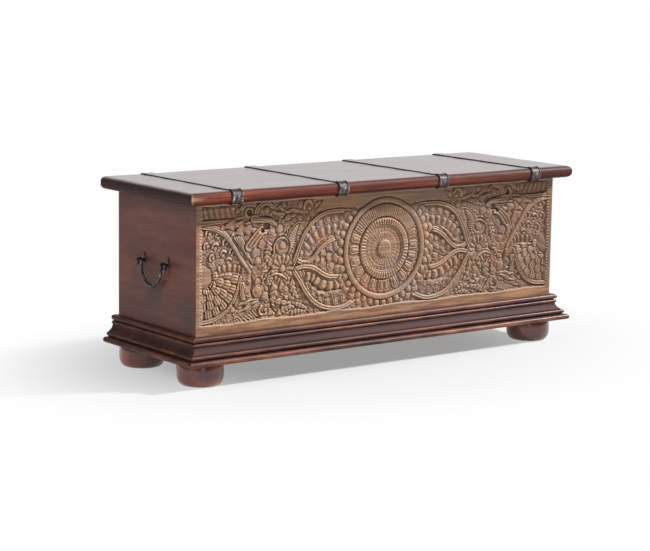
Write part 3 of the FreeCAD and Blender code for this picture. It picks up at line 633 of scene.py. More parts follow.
def lobes(size, low, high, nested=4.4):
    """Overlapping discs about jittered seeds, with low between them. A disc's height is
    low + (high - low) (0.35 + 0.65 sqrt(inside / radius)), less outlines
    0.11 (1 - cos(2 pi inside / nested)). Each leans, higher at its lower left, and its
    rim sinks what lies under it."""
    columns = int(COVER_WIDE / size) + 4
    rows = int(COVER_HIGH / size) + 4
    jitter = chance.uniform(-0.34, 0.34, (2, rows, columns))
    tall = chance.uniform(0.78, 1.0, (rows, columns))
    cell_x = np.floor((PX - COVER_X) / size).astype(int)
    cell_z = np.floor((PZ - COVER_Z) / size).astype(int)
    cover = np.full_like(PX, low)
    for step_z in (1, 0, -1):
        for step_x in (-1, 1, 0):
            i = np.clip(cell_z + step_z, 0, rows - 1)
            j = np.clip(cell_x + step_x, 0, columns - 1)
            seed_x = (j + 0.5 + jitter[0, i, j]) * size + COVER_X
            seed_z = (i + 0.5 + jitter[1, i, j]) * size + COVER_Z
            inside = size * 0.66 - np.hypot(PX - seed_x, PZ - seed_z)
            dome = np.sqrt(np.clip(inside / (size * 0.66), 0, 1))
            ripple = 0.11 * (1 - np.cos(2 * np.pi * inside / nested))
            lean = 0.5 + 0.4 * (PX - seed_x + PZ - seed_z) / size
            laid = low + (high * tall[i, j] - low) * (0.35 + 0.65 * dome) - ripple
            laid = laid * (1.1 - 0.4 * lean)
            sunk = cover * (0.55 + 0.45 * np.clip(-inside / 1.4, 0, 1))
            cover = np.where(inside > 0, laid, sunk)
    return cover


LOBE_SIZE = 19.0
relief[:] = lobes(LOBE_SIZE, 0.5, 0.84, 5.0)
print("ground cover, mean height", round(float(relief.mean()), 3))

# %% [markdown]
# ## End rosette
#
# At each end stile sits half of a big rosette: a plain boss, rows of overlapping scales
# that look like roof tiles, and raised strands round it that run out into a point. The
# scales are rings of tongues laid from the outside in, so that the tips of each ring cover
# the feet of the one before.

# %% End rosette
ROSETTE = (-556.0, 267.0)
for x, z, radius, start, sweep in ((-538, 372, 12, 200, -250), (-512, 362, 12, 20, 260),
                                   (-488, 346, 13, 210, -250), (-520, 336, 13, 40, 250),
                                   (-543, 340, 11, 220, -240), (-496, 318, 12, 30, 250),
                                   (-468, 322, 12, 200, -240), (-526, 310, 12, 230, -250),
                                   (-480, 300, 11, 30, 230)):
    curl(x, z, radius * 0.8, start, sweep, 9.0, 0.78)
for inner, outer, count in ((78, 110, 25), (56, 88, 20), (36, 66, 15), (20, 47, 10)):
    petals(*ROSETTE, inner, outer, count, 0.95, turned=7 * (count % 2), lift=0.4,
           arc=(-95, 12), moat=1.4, swell=0.12, floor=0.3, combed=0.2)
fringe([(-512, 268), (-480, 272), (-442, 268)], 22, 5, 1, 0.8, nested=5.0)
bud(*ROSETTE, 28, 0.96)
deep_cut([(-556, 236), (-538, 236), (-528, 246), (-524, 262)], 3.5, 0.6)
strands([(-556, 389), (-522, 382), (-490, 364), (-465, 334), (-443, 302), (-416, 268)], 16,
        3, 0.95, 0.6)
strands([(-455, 360), (-438, 336), (-424, 312), (-406, 282)], 24, 4, 0.88, 0.25)
strands([(-556, 155), (-518, 161), (-488, 176), (-466, 200), (-452, 228), (-442, 258)], 13,
        2, 0.95, 0.7)
print("with the rosette", round(float(relief.mean()), 3))

# %% [markdown]
# ## Pointed oval
#
# Beside the medallion lies a pointed oval. Inside its double line run a row of buds and a
# fringe, and in its heart two S-shaped bands hold a heap of buds. Above it, and above the
# medallion, the board keeps a plain strip, so we lay that flat first. The double line is
# stamped last, so that it runs unbroken round what it frames.

# %% Pointed oval
strip = np.clip((PX + 226) / 40, 0, 1) * np.clip((PZ - 400) / 6, 0, 1)
relief[:] = relief * (1 - strip) + 0.84 * strip
OVAL_TOP = [(-290, 268), (-279, 292), (-267, 322), (-251, 352), (-229, 377), (-201, 392),
            (-168, 399), (-128, 398), (-92, 392)]
OVAL_LOW = [(-290, 266), (-268, 236), (-248, 206), (-225, 181), (-197, 163), (-164, 154),
            (-132, 155), (-98, 168)]
for x, z, radius in ((-262, 303, 9), (-251, 320, 11), (-242, 342, 13), (-226, 361, 13),
                     (-204, 372, 14), (-180, 379, 14), (-156, 381, 14), (-132, 380, 13),
                     (-112, 374, 11)):
    bud(x, z, radius, 0.8, 0.2)
fringe([(-240, 300), (-222, 318), (-196, 334), (-166, 340), (-134, 338)], 27, 7, 1, 0.84,
       nested=6.0, lift=0.4)
for x, z, radius in ((-256, 231, 10), (-241, 209, 12), (-222, 190, 13), (-199, 178, 14),
                     (-175, 171, 14), (-150, 169, 14), (-126, 174, 13), (-106, 187, 10)):
    bud(x, z, radius, 0.78, 0.2)
    curl(x, z, radius * 0.72, 140, 240, 4.0, 0.84)
deep_cut([(-250, 256), (-238, 238), (-222, 220), (-204, 208), (-182, 203), (-158, 204),
          (-128, 200)], 13, 0.9)
fringe([(-246, 258), (-216, 250), (-194, 234), (-168, 226), (-130, 226), (-106, 214)],
       26, 8, -1, 0.94, nested=5.4, lift=0.35)
for x, z, radius in ((-240, 276, 8), (-142, 314, 15), (-142, 250, 15), (-150, 282, 17),
                     (-168, 304, 15), (-168, 262, 15), (-176, 284, 16), (-194, 296, 14),
                     (-196, 274, 15), (-214, 283, 13), (-230, 279, 9)):
    bud(x, z, radius, 0.84, 0.16)
deep_cut([(-262, 288), (-244, 288), (-224, 300), (-204, 320), (-180, 335), (-150, 340)],
         4.5, 0.6)
strands([(-280, 290), (-260, 279), (-240, 279), (-220, 291), (-201, 308), (-178, 323),
         (-148, 332), (-124, 338)], 13, 2, 0.95, 0.9)
strands([(-284, 262), (-262, 268), (-240, 268), (-216, 260), (-194, 245), (-172, 236),
         (-146, 233), (-124, 228)], 13, 2, 0.95, 0.9)
strands(OVAL_TOP, 13, 2, 0.97)
strands(OVAL_LOW, 13, 2, 0.97)
print("with the oval", round(float(relief.mean()), 3))

# %% [markdown]
# ## Scrollwork between rosette and oval
#
# This part is a climbing plant: a small rosette in the middle, a round fruit above it,
# balls, curled tips, feathered leaves and round eyes pierced deep into the ground. Random
# strokes would read as noise and a formula as a border, so every leaf and curl gets a few
# points of its own.

# %% Upper scrollwork
fringe([(-552, 402), (-500, 402), (-452, 404)], 31, 6, 1, 0.86, nested=6.0, lean=0.25)
strands([(-566, 394), (-500, 397), (-438, 403)], 15, 2, 0.84, 0.45)
leaf([(-508, 378), (-470, 388), (-430, 384), (-396, 390)], 26, 0.86, 4, 0.2, 0.08)
leaf([(-474, 360), (-440, 372), (-408, 368), (-384, 352)], 28, 0.8, 4, 0.18, 0.1)
leaf([(-466, 412), (-452, 420), (-434, 428)], 14, 0.74, 3)
strands([(-440, 424), (-426, 433), (-404, 431), (-390, 419), (-374, 410)], 14, 2, 0.86,
        0.7)
bud(-418, 412, 16, 0.9)
bud(-418, 412, 7.5, 0.02, moat=0.5)
strands([(-400, 404), (-390, 424), (-370, 432), (-348, 420)], 16, 2, 0.88, 0.7)
bud(-367, 415, 10, 0.9)
strands([(-404, 396), (-378, 393), (-356, 388), (-342, 374)], 24, 3, 0.9, 0.5)
deep_cut([(-392, 402), (-374, 400), (-356, 396), (-340, 384)], 5, 0.8)
strands([(-416, 330), (-400, 350), (-380, 364), (-350, 366)], 30, 3, 0.9, 0.7)
bud(-350, 358, 15, 0.88, 0.08)
bud(-368, 375, 9.5, 0.0, moat=0.5)
bud(-380, 366, 6, 0.02, moat=0.5)
bud(-330, 367, 12, 0.92)
bud(-316, 425, 10, 0.92)
strands([(-328, 420), (-318, 409), (-304, 406), (-290, 412), (-272, 408)], 12, 2, 0.88,
        0.7)
deep_cut([(-352, 404), (-342, 392), (-334, 384)], 7, 0.8)
leaf([(-356, 412), (-330, 402), (-304, 394), (-282, 398)], 17, 0.9, 3, 0.1)
leaf([(-328, 380), (-314, 388), (-298, 396), (-270, 400)], 17, 0.86, 3, 0.1)
bud(-264, 425, 11, 0.92)
curl(-240, 419, 16, 200, -260, 10, 0.88)
leaf([(-225, 408), (-212, 420), (-196, 430)], 14, 0.76, 3)
bud(-266, 391, 10, 0.88)
bud(-243, 390, 10, 0.86, 0.12)
leaf([(-300, 300), (-302, 326), (-294, 352), (-268, 376)], 40, 0.82, 13, 0.06, 0.1, 1.8)
strands([(-306, 304), (-309, 330), (-300, 358), (-276, 378), (-254, 378)], 6, 1, 0.88,
        0.6)

# %% Fruit, small rosettes and the stem of balls
leaf([(-364, 340), (-360, 320), (-366, 300), (-364, 280)], 26, 0.8, 6, 0.14)
bud(-320, 322, 23, 0.86, 0.1)
deep_cut([(-346, 314), (-345, 332), (-334, 345), (-314, 349)], 5, 0.75)
strands([(-345, 306), (-344, 326), (-332, 340), (-314, 343), (-302, 332)], 7, 1, 0.9, 0.6)
bud(-319, 324, 12, 0.95)
deep_cut([(-418, 300), (-412, 288), (-402, 278)], 5, 0.8)
bud(-398, 312, 15, 0.9)
bud(-391, 291, 12, 0.86, 0.12)
petals(-388, 264, 4, 26, 13, 0.86, arc=(-110, 40), moat=1.2)
bud(-393, 242, 11, 0.84)
deep_cut([(-412, 258), (-409, 240), (-410, 222), (-404, 204)], 11, 0.9)
bud(-391, 219, 18, 0.92, 0.14)
deep_cut([(-420, 198), (-400, 194), (-376, 194)], 6, 0.7)
petals(-320, 266, 6, 36, 13, 0.88, nested=7.0, moat=1.2, lift=0.2)
bud(-320, 268, 10, 0.97)
deep_cut([(-378, 246), (-372, 256), (-360, 264), (-350, 274)], 6, 0.85)
bud(-357, 241, 15, 0.9)
curl(-356, 242, 11, 60, 250, 5.5, 0.94)
strands([(-352, 253), (-340, 257), (-322, 252), (-308, 242)], 8, 1, 0.9, 0.8)
bud(-371, 204, 12, 0.9)

# %% Lower scrollwork
deep_cut([(-362, 232), (-360, 212), (-354, 192), (-350, 172), (-336, 156)], 7, 0.85)
leaf([(-350, 238), (-344, 214), (-348, 190), (-340, 170)], 26, 0.86, 5, 0.12)
leaf([(-324, 244), (-320, 220), (-310, 200), (-298, 182)], 24, 0.84, 4, 0.08)
bud(-307, 214, 14, 0.9, 0.14)
leaf([(-290, 248), (-290, 222), (-282, 204), (-264, 184)], 22, 0.8, 5, 0.12)
bud(-428, 226, 14, 0.7, 0.12)
strands([(-438, 238), (-438, 216), (-432, 198), (-420, 182)], 17, 3, 0.86, 0.5)
leaf([(-454, 190), (-428, 192), (-400, 196), (-370, 188)], 15, 0.86, 3, 0.05)
leaf([(-456, 170), (-430, 178), (-404, 190), (-376, 194)], 13, 0.88, 3, 0.05)
deep_cut([(-468, 196), (-460, 184), (-450, 178)], 6, 0.8)
bud(-466, 180, 8, 0.8)
fringe([(-474, 152), (-440, 160), (-412, 172), (-384, 180)], 24, 12, -1, 0.84, lean=-0.6)
curl(-372, 166, 16, 120, 270, 9, 0.9)
leaf([(-392, 152), (-372, 150), (-352, 153)], 10, 0.76, 3)
leaf([(-340, 150), (-322, 162), (-300, 170), (-274, 168)], 22, 0.88, 6, 0.1)
leaf([(-354, 186), (-330, 186), (-306, 180), (-282, 184)], 17, 0.86, 4, 0.1)
leaf([(-302, 150), (-270, 158), (-238, 154)], 14, 0.8, 6, 0.1)
leaf([(-288, 178), (-262, 172), (-236, 160)], 15, 0.82, 5, 0.1)
print("with the scrollwork", round(float(relief.mean()), 3))

# %% [markdown]
# ## The medallion
#
# The wheel in the middle is drawn last, since it lies over the tips of the ovals: a collar
# of small lobes, a smooth ring, twenty-one nested petals that turn into a fine fan at the
# top, a disc with a fluted rim, rays and a flat boss. We work in radius and angle about the
# hub, where rings, petals and rays are short formulas.

# %% Medallion
HUB = (0.0, 294.0)
HUB_REACH = 134
for inner, outer, count, top, turned, fill, start in (
        (130, 166, 34, 0.72, 5.3, 0.95, 136), (128, 151, 40, 0.86, 0.0, 0.94, 132)):
    for arc in ((start, 181), (-181, -60)):
        petals(*HUB, inner, outer, count, top, turned, fill, 6.5, arc=arc)
hub_spot = window(-HUB_REACH, 1, HUB[1] - HUB_REACH, HUB[1] + HUB_REACH)
hub_r = np.hypot(PX[hub_spot], PZ[hub_spot] - HUB[1])
hub_angle = np.arctan2(PZ[hub_spot] - HUB[1], PX[hub_spot])


def hoop(inner, outer, height, floor=0.45):
    """Ring with a rounded top between two radii of the medallion."""
    middle, half = (inner + outer) / 2, (outer - inner) / 2
    away = np.abs(hub_r - middle)
    crown = np.sqrt(np.clip(1 - (away / half) ** 2, 0, 1))
    stamp(hub_spot, half - away, height * (0.86 + 0.14 * crown), 2.0, floor)


def within(outer, height):
    """Lays a height, a number or a grid, on the medallion inside a radius."""
    relief[hub_spot] = np.where(hub_r < outer, height, relief[hub_spot])


def rays(count, sharp=0.7):
    """Ridges that run out from the hub: |cos(count a / 2)| to the power sharp."""
    return np.abs(np.cos(hub_angle * count / 2)) ** sharp


high_up = np.clip((PZ[hub_spot] - 330) / 20, 0, 1)
within(131, 0.6)
hoop(115.5, 131, 1.0, 0.25)
petals(*HUB, 74, 115.5, 21, 0.97, turned=8.0, fill=0.97, nested=5.4, moat=1.2,
       lift=0.15, swell=0.3, floor=0.4, lines=2)
fan = (hub_r > 78) & (hub_r < 112)
combed = relief[hub_spot] * (1 - high_up) + high_up * (0.5 + 0.4 * rays(96))
relief[hub_spot] = np.where(fan, combed, relief[hub_spot])
within(82, 0.3)
within(78.5, 0.62 + 0.38 * rays(56) * np.clip((78.5 - hub_r) / 3, 0, 1))
within(60, 0.5)
hoop(56.5, 60.5, 0.86)
cone = 0.6 - 0.08 * np.clip((hub_r - 22) / 34, 0, 1)
within(56, cone - 0.16 * (1 - rays(30, 0.4)) - 0.1 * np.exp(-((hub_r - 44) / 2) ** 2))
BOSS = 21.5
within(BOSS, 1.0 - 0.1 * (hub_r / BOSS) ** 4)
print("with the medallion", round(float(relief.mean()), 3))

# %% [markdown]
# ## From the drawing to the board
#
# The drawing is a half. The board's own grid reads it mirrored, and reads it with a slight
# wobble of the coordinates, because a hand-cut pattern never repeats exactly. Outside the
# sunk field the board keeps its face, with a row of punch marks up each stile. The height
# is then softened once. How enclosed a place is, we measure by how far it lies under wider
# softenings of itself: dark wax stays in such places, and painted shade darkens them too.

# %% Read the drawing onto the board
FIELD_X, FIELD_LOW, FIELD_HIGH = 528.5 * MM, 141.0 * MM, 413.0 * MM
SUNK = 9.0 * MM
STEP = 1.0 * MM
PUNCH_PITCH, PUNCH_LONG = 7.5 * MM, 3.4 * MM
PUNCH_FROM_FIELD, PUNCH_HALF = 2.6 * MM, 1.6 * MM
board_x = np.linspace(-HALF_WIDTH, HALF_WIDTH, int(2 * HALF_WIDTH / STEP) + 1)
board_z = np.arange(PLINTH_TOP, FRONT_TOP + STEP / 2, STEP)
BX, BZ = np.meshgrid(board_x, board_z)


def wobble(x, z, phase):
    """Slow drift of a hand: a sum of sines, twice as loose beyond the medallion."""
    loose = np.clip((np.abs(x) - 150) / 60, 0, 1)
    drift = (0.5 * np.sin(x / 37 + phase) + 0.3 * np.sin(z / 23 + 2 * phase)
             + 0.3 * np.sin((x + z) / 17 + 3 * phase))
    return drift * (1 + loose)


def read_drawing(x, z):
    """Bilinear reading of the relief at drawing coordinates."""
    across = np.clip((x - carving_x[0]) / PITCH, 0, len(carving_x) - 1.001)
    up = np.clip((z - carving_z[0]) / PITCH, 0, len(carving_z) - 1.001)
    j, i = across.astype(int), up.astype(int)
    s, t = across - j, up - i
    low = relief[i, j] * (1 - s) + relief[i, j + 1] * s
    high = relief[i + 1, j] * (1 - s) + relief[i + 1, j + 1] * s
    return low * (1 - t) + high * t


def softened(grid, times):
    """Repeated 1-2-1 averaging along both directions."""
    for _ in range(times):
        padded = np.pad(grid, 1, mode="edge")
        grid = (padded[:-2, 1:-1] + padded[2:, 1:-1] + 2 * grid) / 4
        padded = np.pad(grid, 1, mode="edge")
        grid = (padded[1:-1, :-2] + padded[1:-1, 2:] + 2 * grid) / 4
    return grid


drawn_x, drawn_z = BX / MM / DRAWN, BZ / MM / DRAWN
swayed_x = drawn_x + wobble(drawn_x, drawn_z, 0.4)
swayed_z = drawn_z + wobble(drawn_x, drawn_z, 1.9)
board_relief = read_drawing(-np.abs(swayed_x), swayed_z)
in_field = ((np.abs(BX) < FIELD_X + 0.0004 * np.sin(BZ * 140))
            & (BZ > FIELD_LOW + 0.0012 * np.sin(BX * 31))
            & (BZ < FIELD_HIGH + 0.0008 * np.sin(BX * 43)))
board_relief = np.where(in_field, np.clip(board_relief, 0, 1), 1.0)
punched = ((np.abs(np.abs(BX) - FIELD_X - PUNCH_FROM_FIELD) < PUNCH_HALF)
           & (np.mod(BZ, PUNCH_PITCH) < PUNCH_LONG)
           & (BZ > FIELD_LOW) & (BZ < FIELD_HIGH))
board_relief = np.where(punched, 0.75, board_relief)
tool_marks = softened(chance.normal(0, 1, BX.shape), 2) * 0.055
board_relief = softened(board_relief, 1) + tool_marks * in_field
near = softened(board_relief, 4)
# How enclosed a place is: it drives both the dark wax and the painted shade in recesses.
enclosed = 1.3 * (near - board_relief) + 1.1 * (softened(near, 30) - board_relief)
print("relief", board_relief.shape, "mean", round(float(board_relief.mean()), 3))

# %% [markdown]
# ## Boards of the front
#
# A front this high is glued up from narrow boards, and one mesh of it would also be too
# heavy to pass on, so we make four boards. Each is a closed tube: its outline runs up the
# carved face and down the plain back, and is carried along the chest. The back is shorter
# than the face, because the ends are mitred.

# %% Make the four boards
SEAMS = [PLINTH_TOP, 195 * MM, 270 * MM, 345 * MM, FRONT_TOP]
INNER_SHARE = (HALF_WIDTH - BOARD) / HALF_WIDTH


def front_board(number, low, high):
    """Rings of (x, face y, z) with two back corners, x shortened on the mitre."""
    first = int(round((low - PLINTH_TOP) / STEP))
    last = min(int(round((high - PLINTH_TOP) / STEP)), len(board_z) - 1)
    rows = slice(first, last + 1)
    face_x, face_z = BX[rows].T, BZ[rows].T
    lowered = SUNK * (1 - board_relief[rows].T)
    mitre = 1 - (1 - INNER_SHARE) * lowered / BOARD
    face = np.stack([face_x * mitre, FRONT_Y + lowered, face_z], axis=-1)
    close = enclosed[rows].T
    if number == 0:
        foot = face[:, :1].copy()
        foot[..., 1] = FRONT_Y
        foot[..., 2] = front_low.z
        face = np.concatenate([foot, face], axis=1)
        close = np.concatenate([close[:, :1], close], axis=1)
    back = face[:, [-1, 0]].copy()
    back[..., 0] = board_x[:, None] * INNER_SHARE
    back[..., 1] = FRONT_Y + BOARD
    rings = np.concatenate([face, back], axis=1)
    name = f"carved_board_{number + 1}"
    piece = tube_piece(name, rings, "case", ["carved_front"], 75.0)
    tag(piece, "enclosed", np.concatenate([close, np.zeros_like(back[..., 0])], axis=1))
    return piece


carved_boards = [front_board(i, SEAMS[i], SEAMS[i + 1]) for i in range(4)]
print("carved boards", [len(board.data.polygons) for board in carved_boards])

# %% [markdown]
# ## Finish of the carved front
#
# The carving is bare, light wood that was waxed dark and wiped: pale on what stands out,
# dark brown deep down, with long streaks of grain and cooler, greyish patches. The pale is
# partly wiped wood and partly painted highlight on the crests, and the dark brown is partly
# wax and partly painted shade in the recesses. The plain rail at the bottom is a little
# more orange, and to the right painted shade makes the wood darker. How enclosed a place is
# comes from the mesh, since a shader knows only its own point.


# %% Carved wood
RAIL_TOP = 143 * MM


def carved_wood():
    """Tan streaks, patches and rail, darker to the right by painted shade; pale where close <
    0, partly wiped wood and partly painted highlight; and dark where the place is enclosed
    and deep, partly wax and partly painted shade."""
    f = Finish("carved_wood")
    deep = (f.y - FRONT_Y) / SUNK
    close = f.attribute("enclosed")
    streak = f.noise((6.0, 60.0, 190.0), 4.0, 0.6)
    patch = f.noise((5.0, 5.0, 8.0), 3.0, 0.6, (3.0, 1.0, 0.0))
    speck = f.noise((420.0, 420.0, 420.0), 2.0)
    rosy = f.noise((9.0, 9.0, 12.0), 3.0, 0.6, (1.0, 4.0, 7.0))
    tan = f.mix(streak.rising(0.3, 0.72), stain(130, 95, 72), stain(170, 134, 102))
    tan = f.mix(patch.rising(0.46, 0.66) * 0.6, tan, stain(140, 118, 112))
    tan = f.mix(rosy.rising(0.5, 0.7) * 0.6, tan, stain(172, 114, 80))
    # Painted shade: the carved wood darkens towards the right.
    tan = f.mix(f.x.rising(0.0, 0.5) * 0.55, tan, stain(106, 74, 50))
    rail = f.z.rising(RAIL_TOP, RAIL_TOP - 7 * MM)
    flame = f.noise((9.0, 9.0, 130.0), 4.0, 0.65, (6.0, 2.0, 1.0))
    rail_tan = f.mix(flame.rising(0.38, 0.62), stain(116, 74, 54), stain(184, 134, 94))
    tan = f.mix(rail * 0.75, tan, rail_tan)
    # Pale crests: partly wiped wood, partly painted highlight, dimmed to the right by painted
    # shade.
    pale = close.rising(-0.04, -0.34) * (0.6 - 0.2 * f.x.rising(0.0, 0.5))
    worn = f.mix(pale, tan, stain(212, 178, 140))
    # Dark wax and painted shade: darker where the place is enclosed and deep.
    wax_and_shade = (close * 1.2 + deep * 0.35 + (speck - 0.5) * 0.35).rising(0.1, 0.95)
    colour = f.mix(wax_and_shade * 0.95, worn, stain(48, 30, 22))
    grit = f.bumps(streak * 0.5 + speck * 0.5, 0.0006, 0.6)
    return f.done(colour, 0.62 - 0.1 * wax_and_shade, grit)


carved_finish = carved_wood()
for board in carved_boards:
    board.data.materials.append(carved_finish)
print("nodes in the carved wood", len(carved_finish.node_tree.nodes))


# %% [markdown]
# ## Stained wood
#
# The case, the lid and the base have the same dark, red-brown stain over wood with a long
# grain. They share one recipe for the grain, and each adds its own stain colours, its
# polish and the places where it is rubbed. The grain of the sides runs from front to back
# and that of the back panel from end to end; both are glued from three boards whose tones
# differ a little. As on the front, painted shade makes the wood darker towards the right.


# %% Stained wood recipe
def grain(f, along, fine=1.0):
    """Streaks along one axis: stretched noise, with a slower figure under it."""
    def stretch(long, short):
        return tuple(long if axis == along else short for axis in "xyz")

    figure = f.noise(stretch(2.2, 26.0 * fine), 3.0, 0.6)
    pores = f.noise(stretch(14.0, 420.0 * fine), 2.0, 0.6, (5.0, 2.0, 9.0))
    return figure, pores


SIDE_SEAMS = ((0.198, (122, 66, 50)), (0.271, (86, 50, 46)))


def case_wood(name, along):
    """Figure from dark to red-brown, grey clouds, warm smears, and at each seam a dark
    line with a 0.2 share of another tone above it. along is the axis of the grain."""
    f = Finish(name)
    figure, pores = grain(f, along)
    cloud = f.noise((7.0, 6.0, 9.0), 3.0, 0.6, (2.0, 5.0, 1.0))
    smear = f.noise((6.0, 9.0, 14.0), 3.0, 0.5, (8.0, 1.0, 4.0))
    colour = f.mix(figure.rising(0.3, 0.75), stain(92, 49, 43), stain(127, 74, 63))
    colour = f.mix(cloud.rising(0.48, 0.68) * 0.75, colour, stain(72, 58, 54))
    colour = f.mix(smear.rising(0.5, 0.72) * 0.5, colour, stain(140, 82, 58))
    for height, tone in SIDE_SEAMS:
        above = f.z.rising(height, height + 0.0004)
        colour = f.mix(above * 0.2, colour, stain(*tone))
        seam = f.z.rising(height - 0.0009, height) * f.z.rising(height + 0.0009, height)
        colour = f.mix(seam * 0.7, colour, stain(44, 28, 26))
    colour = f.mix(pores.rising(0.6, 0.4) * 0.25, colour, stain(40, 24, 22))
    # Painted shade: the case darkens towards the right.
    colour = f.mix(f.x.rising(0.3, 0.5) * 0.45, colour, stain(58, 36, 34))
    bump = f.bumps(pores * 0.6 + figure * 0.4, 0.0004, 0.5)
    return f.done(colour, 0.48 + 0.16 * cloud, bump)


# %% Lid, base, feet and bare wood
def lid_wood():
    """Glossy violet-brown top; orange nose with a dark edge over it, painted shade under it
    and painted shade towards the right; dull dark ends; a front left corner that is rubbed to
    bare wood, and a thin pale strip up the very end of the nose."""
    f = Finish("lid_wood")
    figure, pores = grain(f, "x")
    flame = f.noise((3.0, 90.0, 60.0), 4.0, 0.65, (1.0, 7.0, 3.0))
    inwards = f.y - lid_low.y
    from_end = lid_high.x - f.x.maths("ABSOLUTE", f.x)
    beside = (inwards - from_end).rising(-0.0004, 0.0004)
    nose = inwards.rising(0.012, 0.005) * (1 - beside)
    under = f.z.rising(lid_low.z + 0.011, lid_low.z + 0.003)
    over = f.z.rising(lid_high.z - 0.011, lid_high.z - 0.004)
    top = f.mix(figure.rising(0.3, 0.7), stain(68, 42, 42), stain(98, 66, 62))
    edge = f.mix(figure.rising(0.3, 0.7), stain(70, 22, 16), stain(114, 44, 28))
    edge = f.mix(flame.rising(0.44, 0.66) * 0.75, edge, stain(166, 82, 42))
    # Painted shade: the underside of the nose is darkened.
    edge = f.mix(under * 0.8, edge, stain(56, 28, 30))
    edge = f.mix(over * 0.6, edge, stain(82, 32, 30))
    # Painted shade: the nose darkens towards the right.
    edge = f.mix(f.x.rising(-0.1, 0.5) * 0.5, edge, stain(56, 20, 12))
    colour = f.mix(nose, top, edge)
    end = beside * from_end.rising(0.012, 0.006)
    end = end * f.z.rising(lid_high.z - 0.003, lid_high.z - 0.007)
    colour = f.mix(end * 0.9, colour, stain(60, 36, 36))
    corner = f.x.rising(lid_low.x + 0.05, lid_low.x + 0.006) * nose
    rubbed = corner * f.z.rising(lid_high.z - 0.008, lid_high.z - 0.012)
    rubbed = rubbed * f.z.rising(lid_high.z - 0.02, lid_high.z - 0.015)
    # A thin pale strip up the very end of the nose.
    strip = f.x.rising(lid_low.x + 0.009, lid_low.x + 0.005) * nose
    colour = f.mix(rubbed * 0.6 + strip * 0.4, colour, stain(196, 164, 130))
    colour = f.mix(pores.rising(0.6, 0.4) * 0.25, colour, stain(40, 24, 20))
    bump = f.bumps(pores * 0.7 + figure * 0.3, 0.0004, 0.5)
    return f.done(colour, 0.36 + 0.14 * figure + 0.22 * nose + 0.26 * end, bump,
                  Coat_Weight=(0.85 - nose * 0.82) * (1 - end), Coat_Roughness=0.2,
                  Specular_IOR_Level=0.25)


def base_wood():
    """Dark stain, rubbed where the mesh says wear, with painted shade where it says hollow.
    """
    f = Finish("base_wood")
    figure, pores = grain(f, "x")
    rub = f.noise((14.0, 14.0, 90.0), 4.0, 0.65, (4.0, 4.0, 4.0))
    long_rub = f.noise((3.0, 3.0, 20.0), 3.0, 0.6, (9.0, 1.0, 2.0))
    colour = f.mix(figure.rising(0.3, 0.72), stain(56, 26, 23), stain(94, 50, 41))
    worn = f.attribute("wear") * (rub * 0.6 + long_rub * 0.6).rising(0.5, 0.8)
    colour = f.mix(worn * 0.85, colour, stain(176, 106, 70))
    colour = f.mix(pores.rising(0.6, 0.4) * 0.25, colour, stain(38, 24, 24))
    # Painted shade in the quirks and the cove, where the mesh says hollow.
    hollow = f.attribute("hollow")
    colour = f.mix(hollow * 0.45, colour, stain(48, 25, 28))
    bump = f.bumps(pores * 0.6 + figure * 0.4, 0.0004, 0.5)
    return f.done(colour, 0.46 + 0.16 * figure + 0.18 * hollow, bump,
                  Coat_Weight=0.1 * (1 - hollow), Coat_Roughness=0.2,
                  Specular_IOR_Level=0.3)


def foot_wood():
    """Dark stain under a clear gloss; warm patches, partly the wood's tone and partly painted
    reflection; painted shade towards the right.
    """
    f = Finish("foot_wood")
    figure, pores = grain(f, "x", 0.8)
    glow = f.noise((24.0, 24.0, 16.0), 2.0, 0.5, (4.0, 8.0, 2.0))
    colour = f.mix(figure.rising(0.3, 0.7), stain(94, 44, 36), stain(164, 84, 58))
    # Warm patches: partly the wood's own tone, partly painted reflection.
    colour = f.mix(glow.rising(0.46, 0.66) * 0.65, colour, stain(192, 102, 62))
    colour = f.mix(pores.rising(0.62, 0.4) * 0.3, colour, stain(40, 20, 16))
    # Painted shade: the feet darken towards the right.
    colour = f.mix(f.x.rising(0.3, 0.5) * 0.4, colour, stain(56, 26, 22))
    return f.done(colour, 0.24 + 0.1 * figure, f.bumps(pores, 0.0003, 0.4),
                  Coat_Weight=0.7, Coat_Roughness=0.1)


def inner_wood():
    """Bare sawn wood."""
    f = Finish("inner_wood")
    figure, pores = grain(f, "x")
    colour = f.mix(figure.rising(0.3, 0.7), stain(122, 92, 66), stain(160, 128, 94))
    colour = f.mix(pores.rising(0.6, 0.4) * 0.3, colour, stain(84, 58, 40))
    return f.done(colour, 0.7, f.bumps(pores, 0.0004, 0.6))


# %% [markdown]
# ## Old iron
#
# Straps, nails and handles are blackened iron with hammer marks, rubbed bright on the
# beads of the clasps. The hinges and their screws are plainer steel. One noise gives both
# the dents and the shades of the iron, so that they fall together; where the metal is
# rubbed comes from the mesh, which knows what stands out.


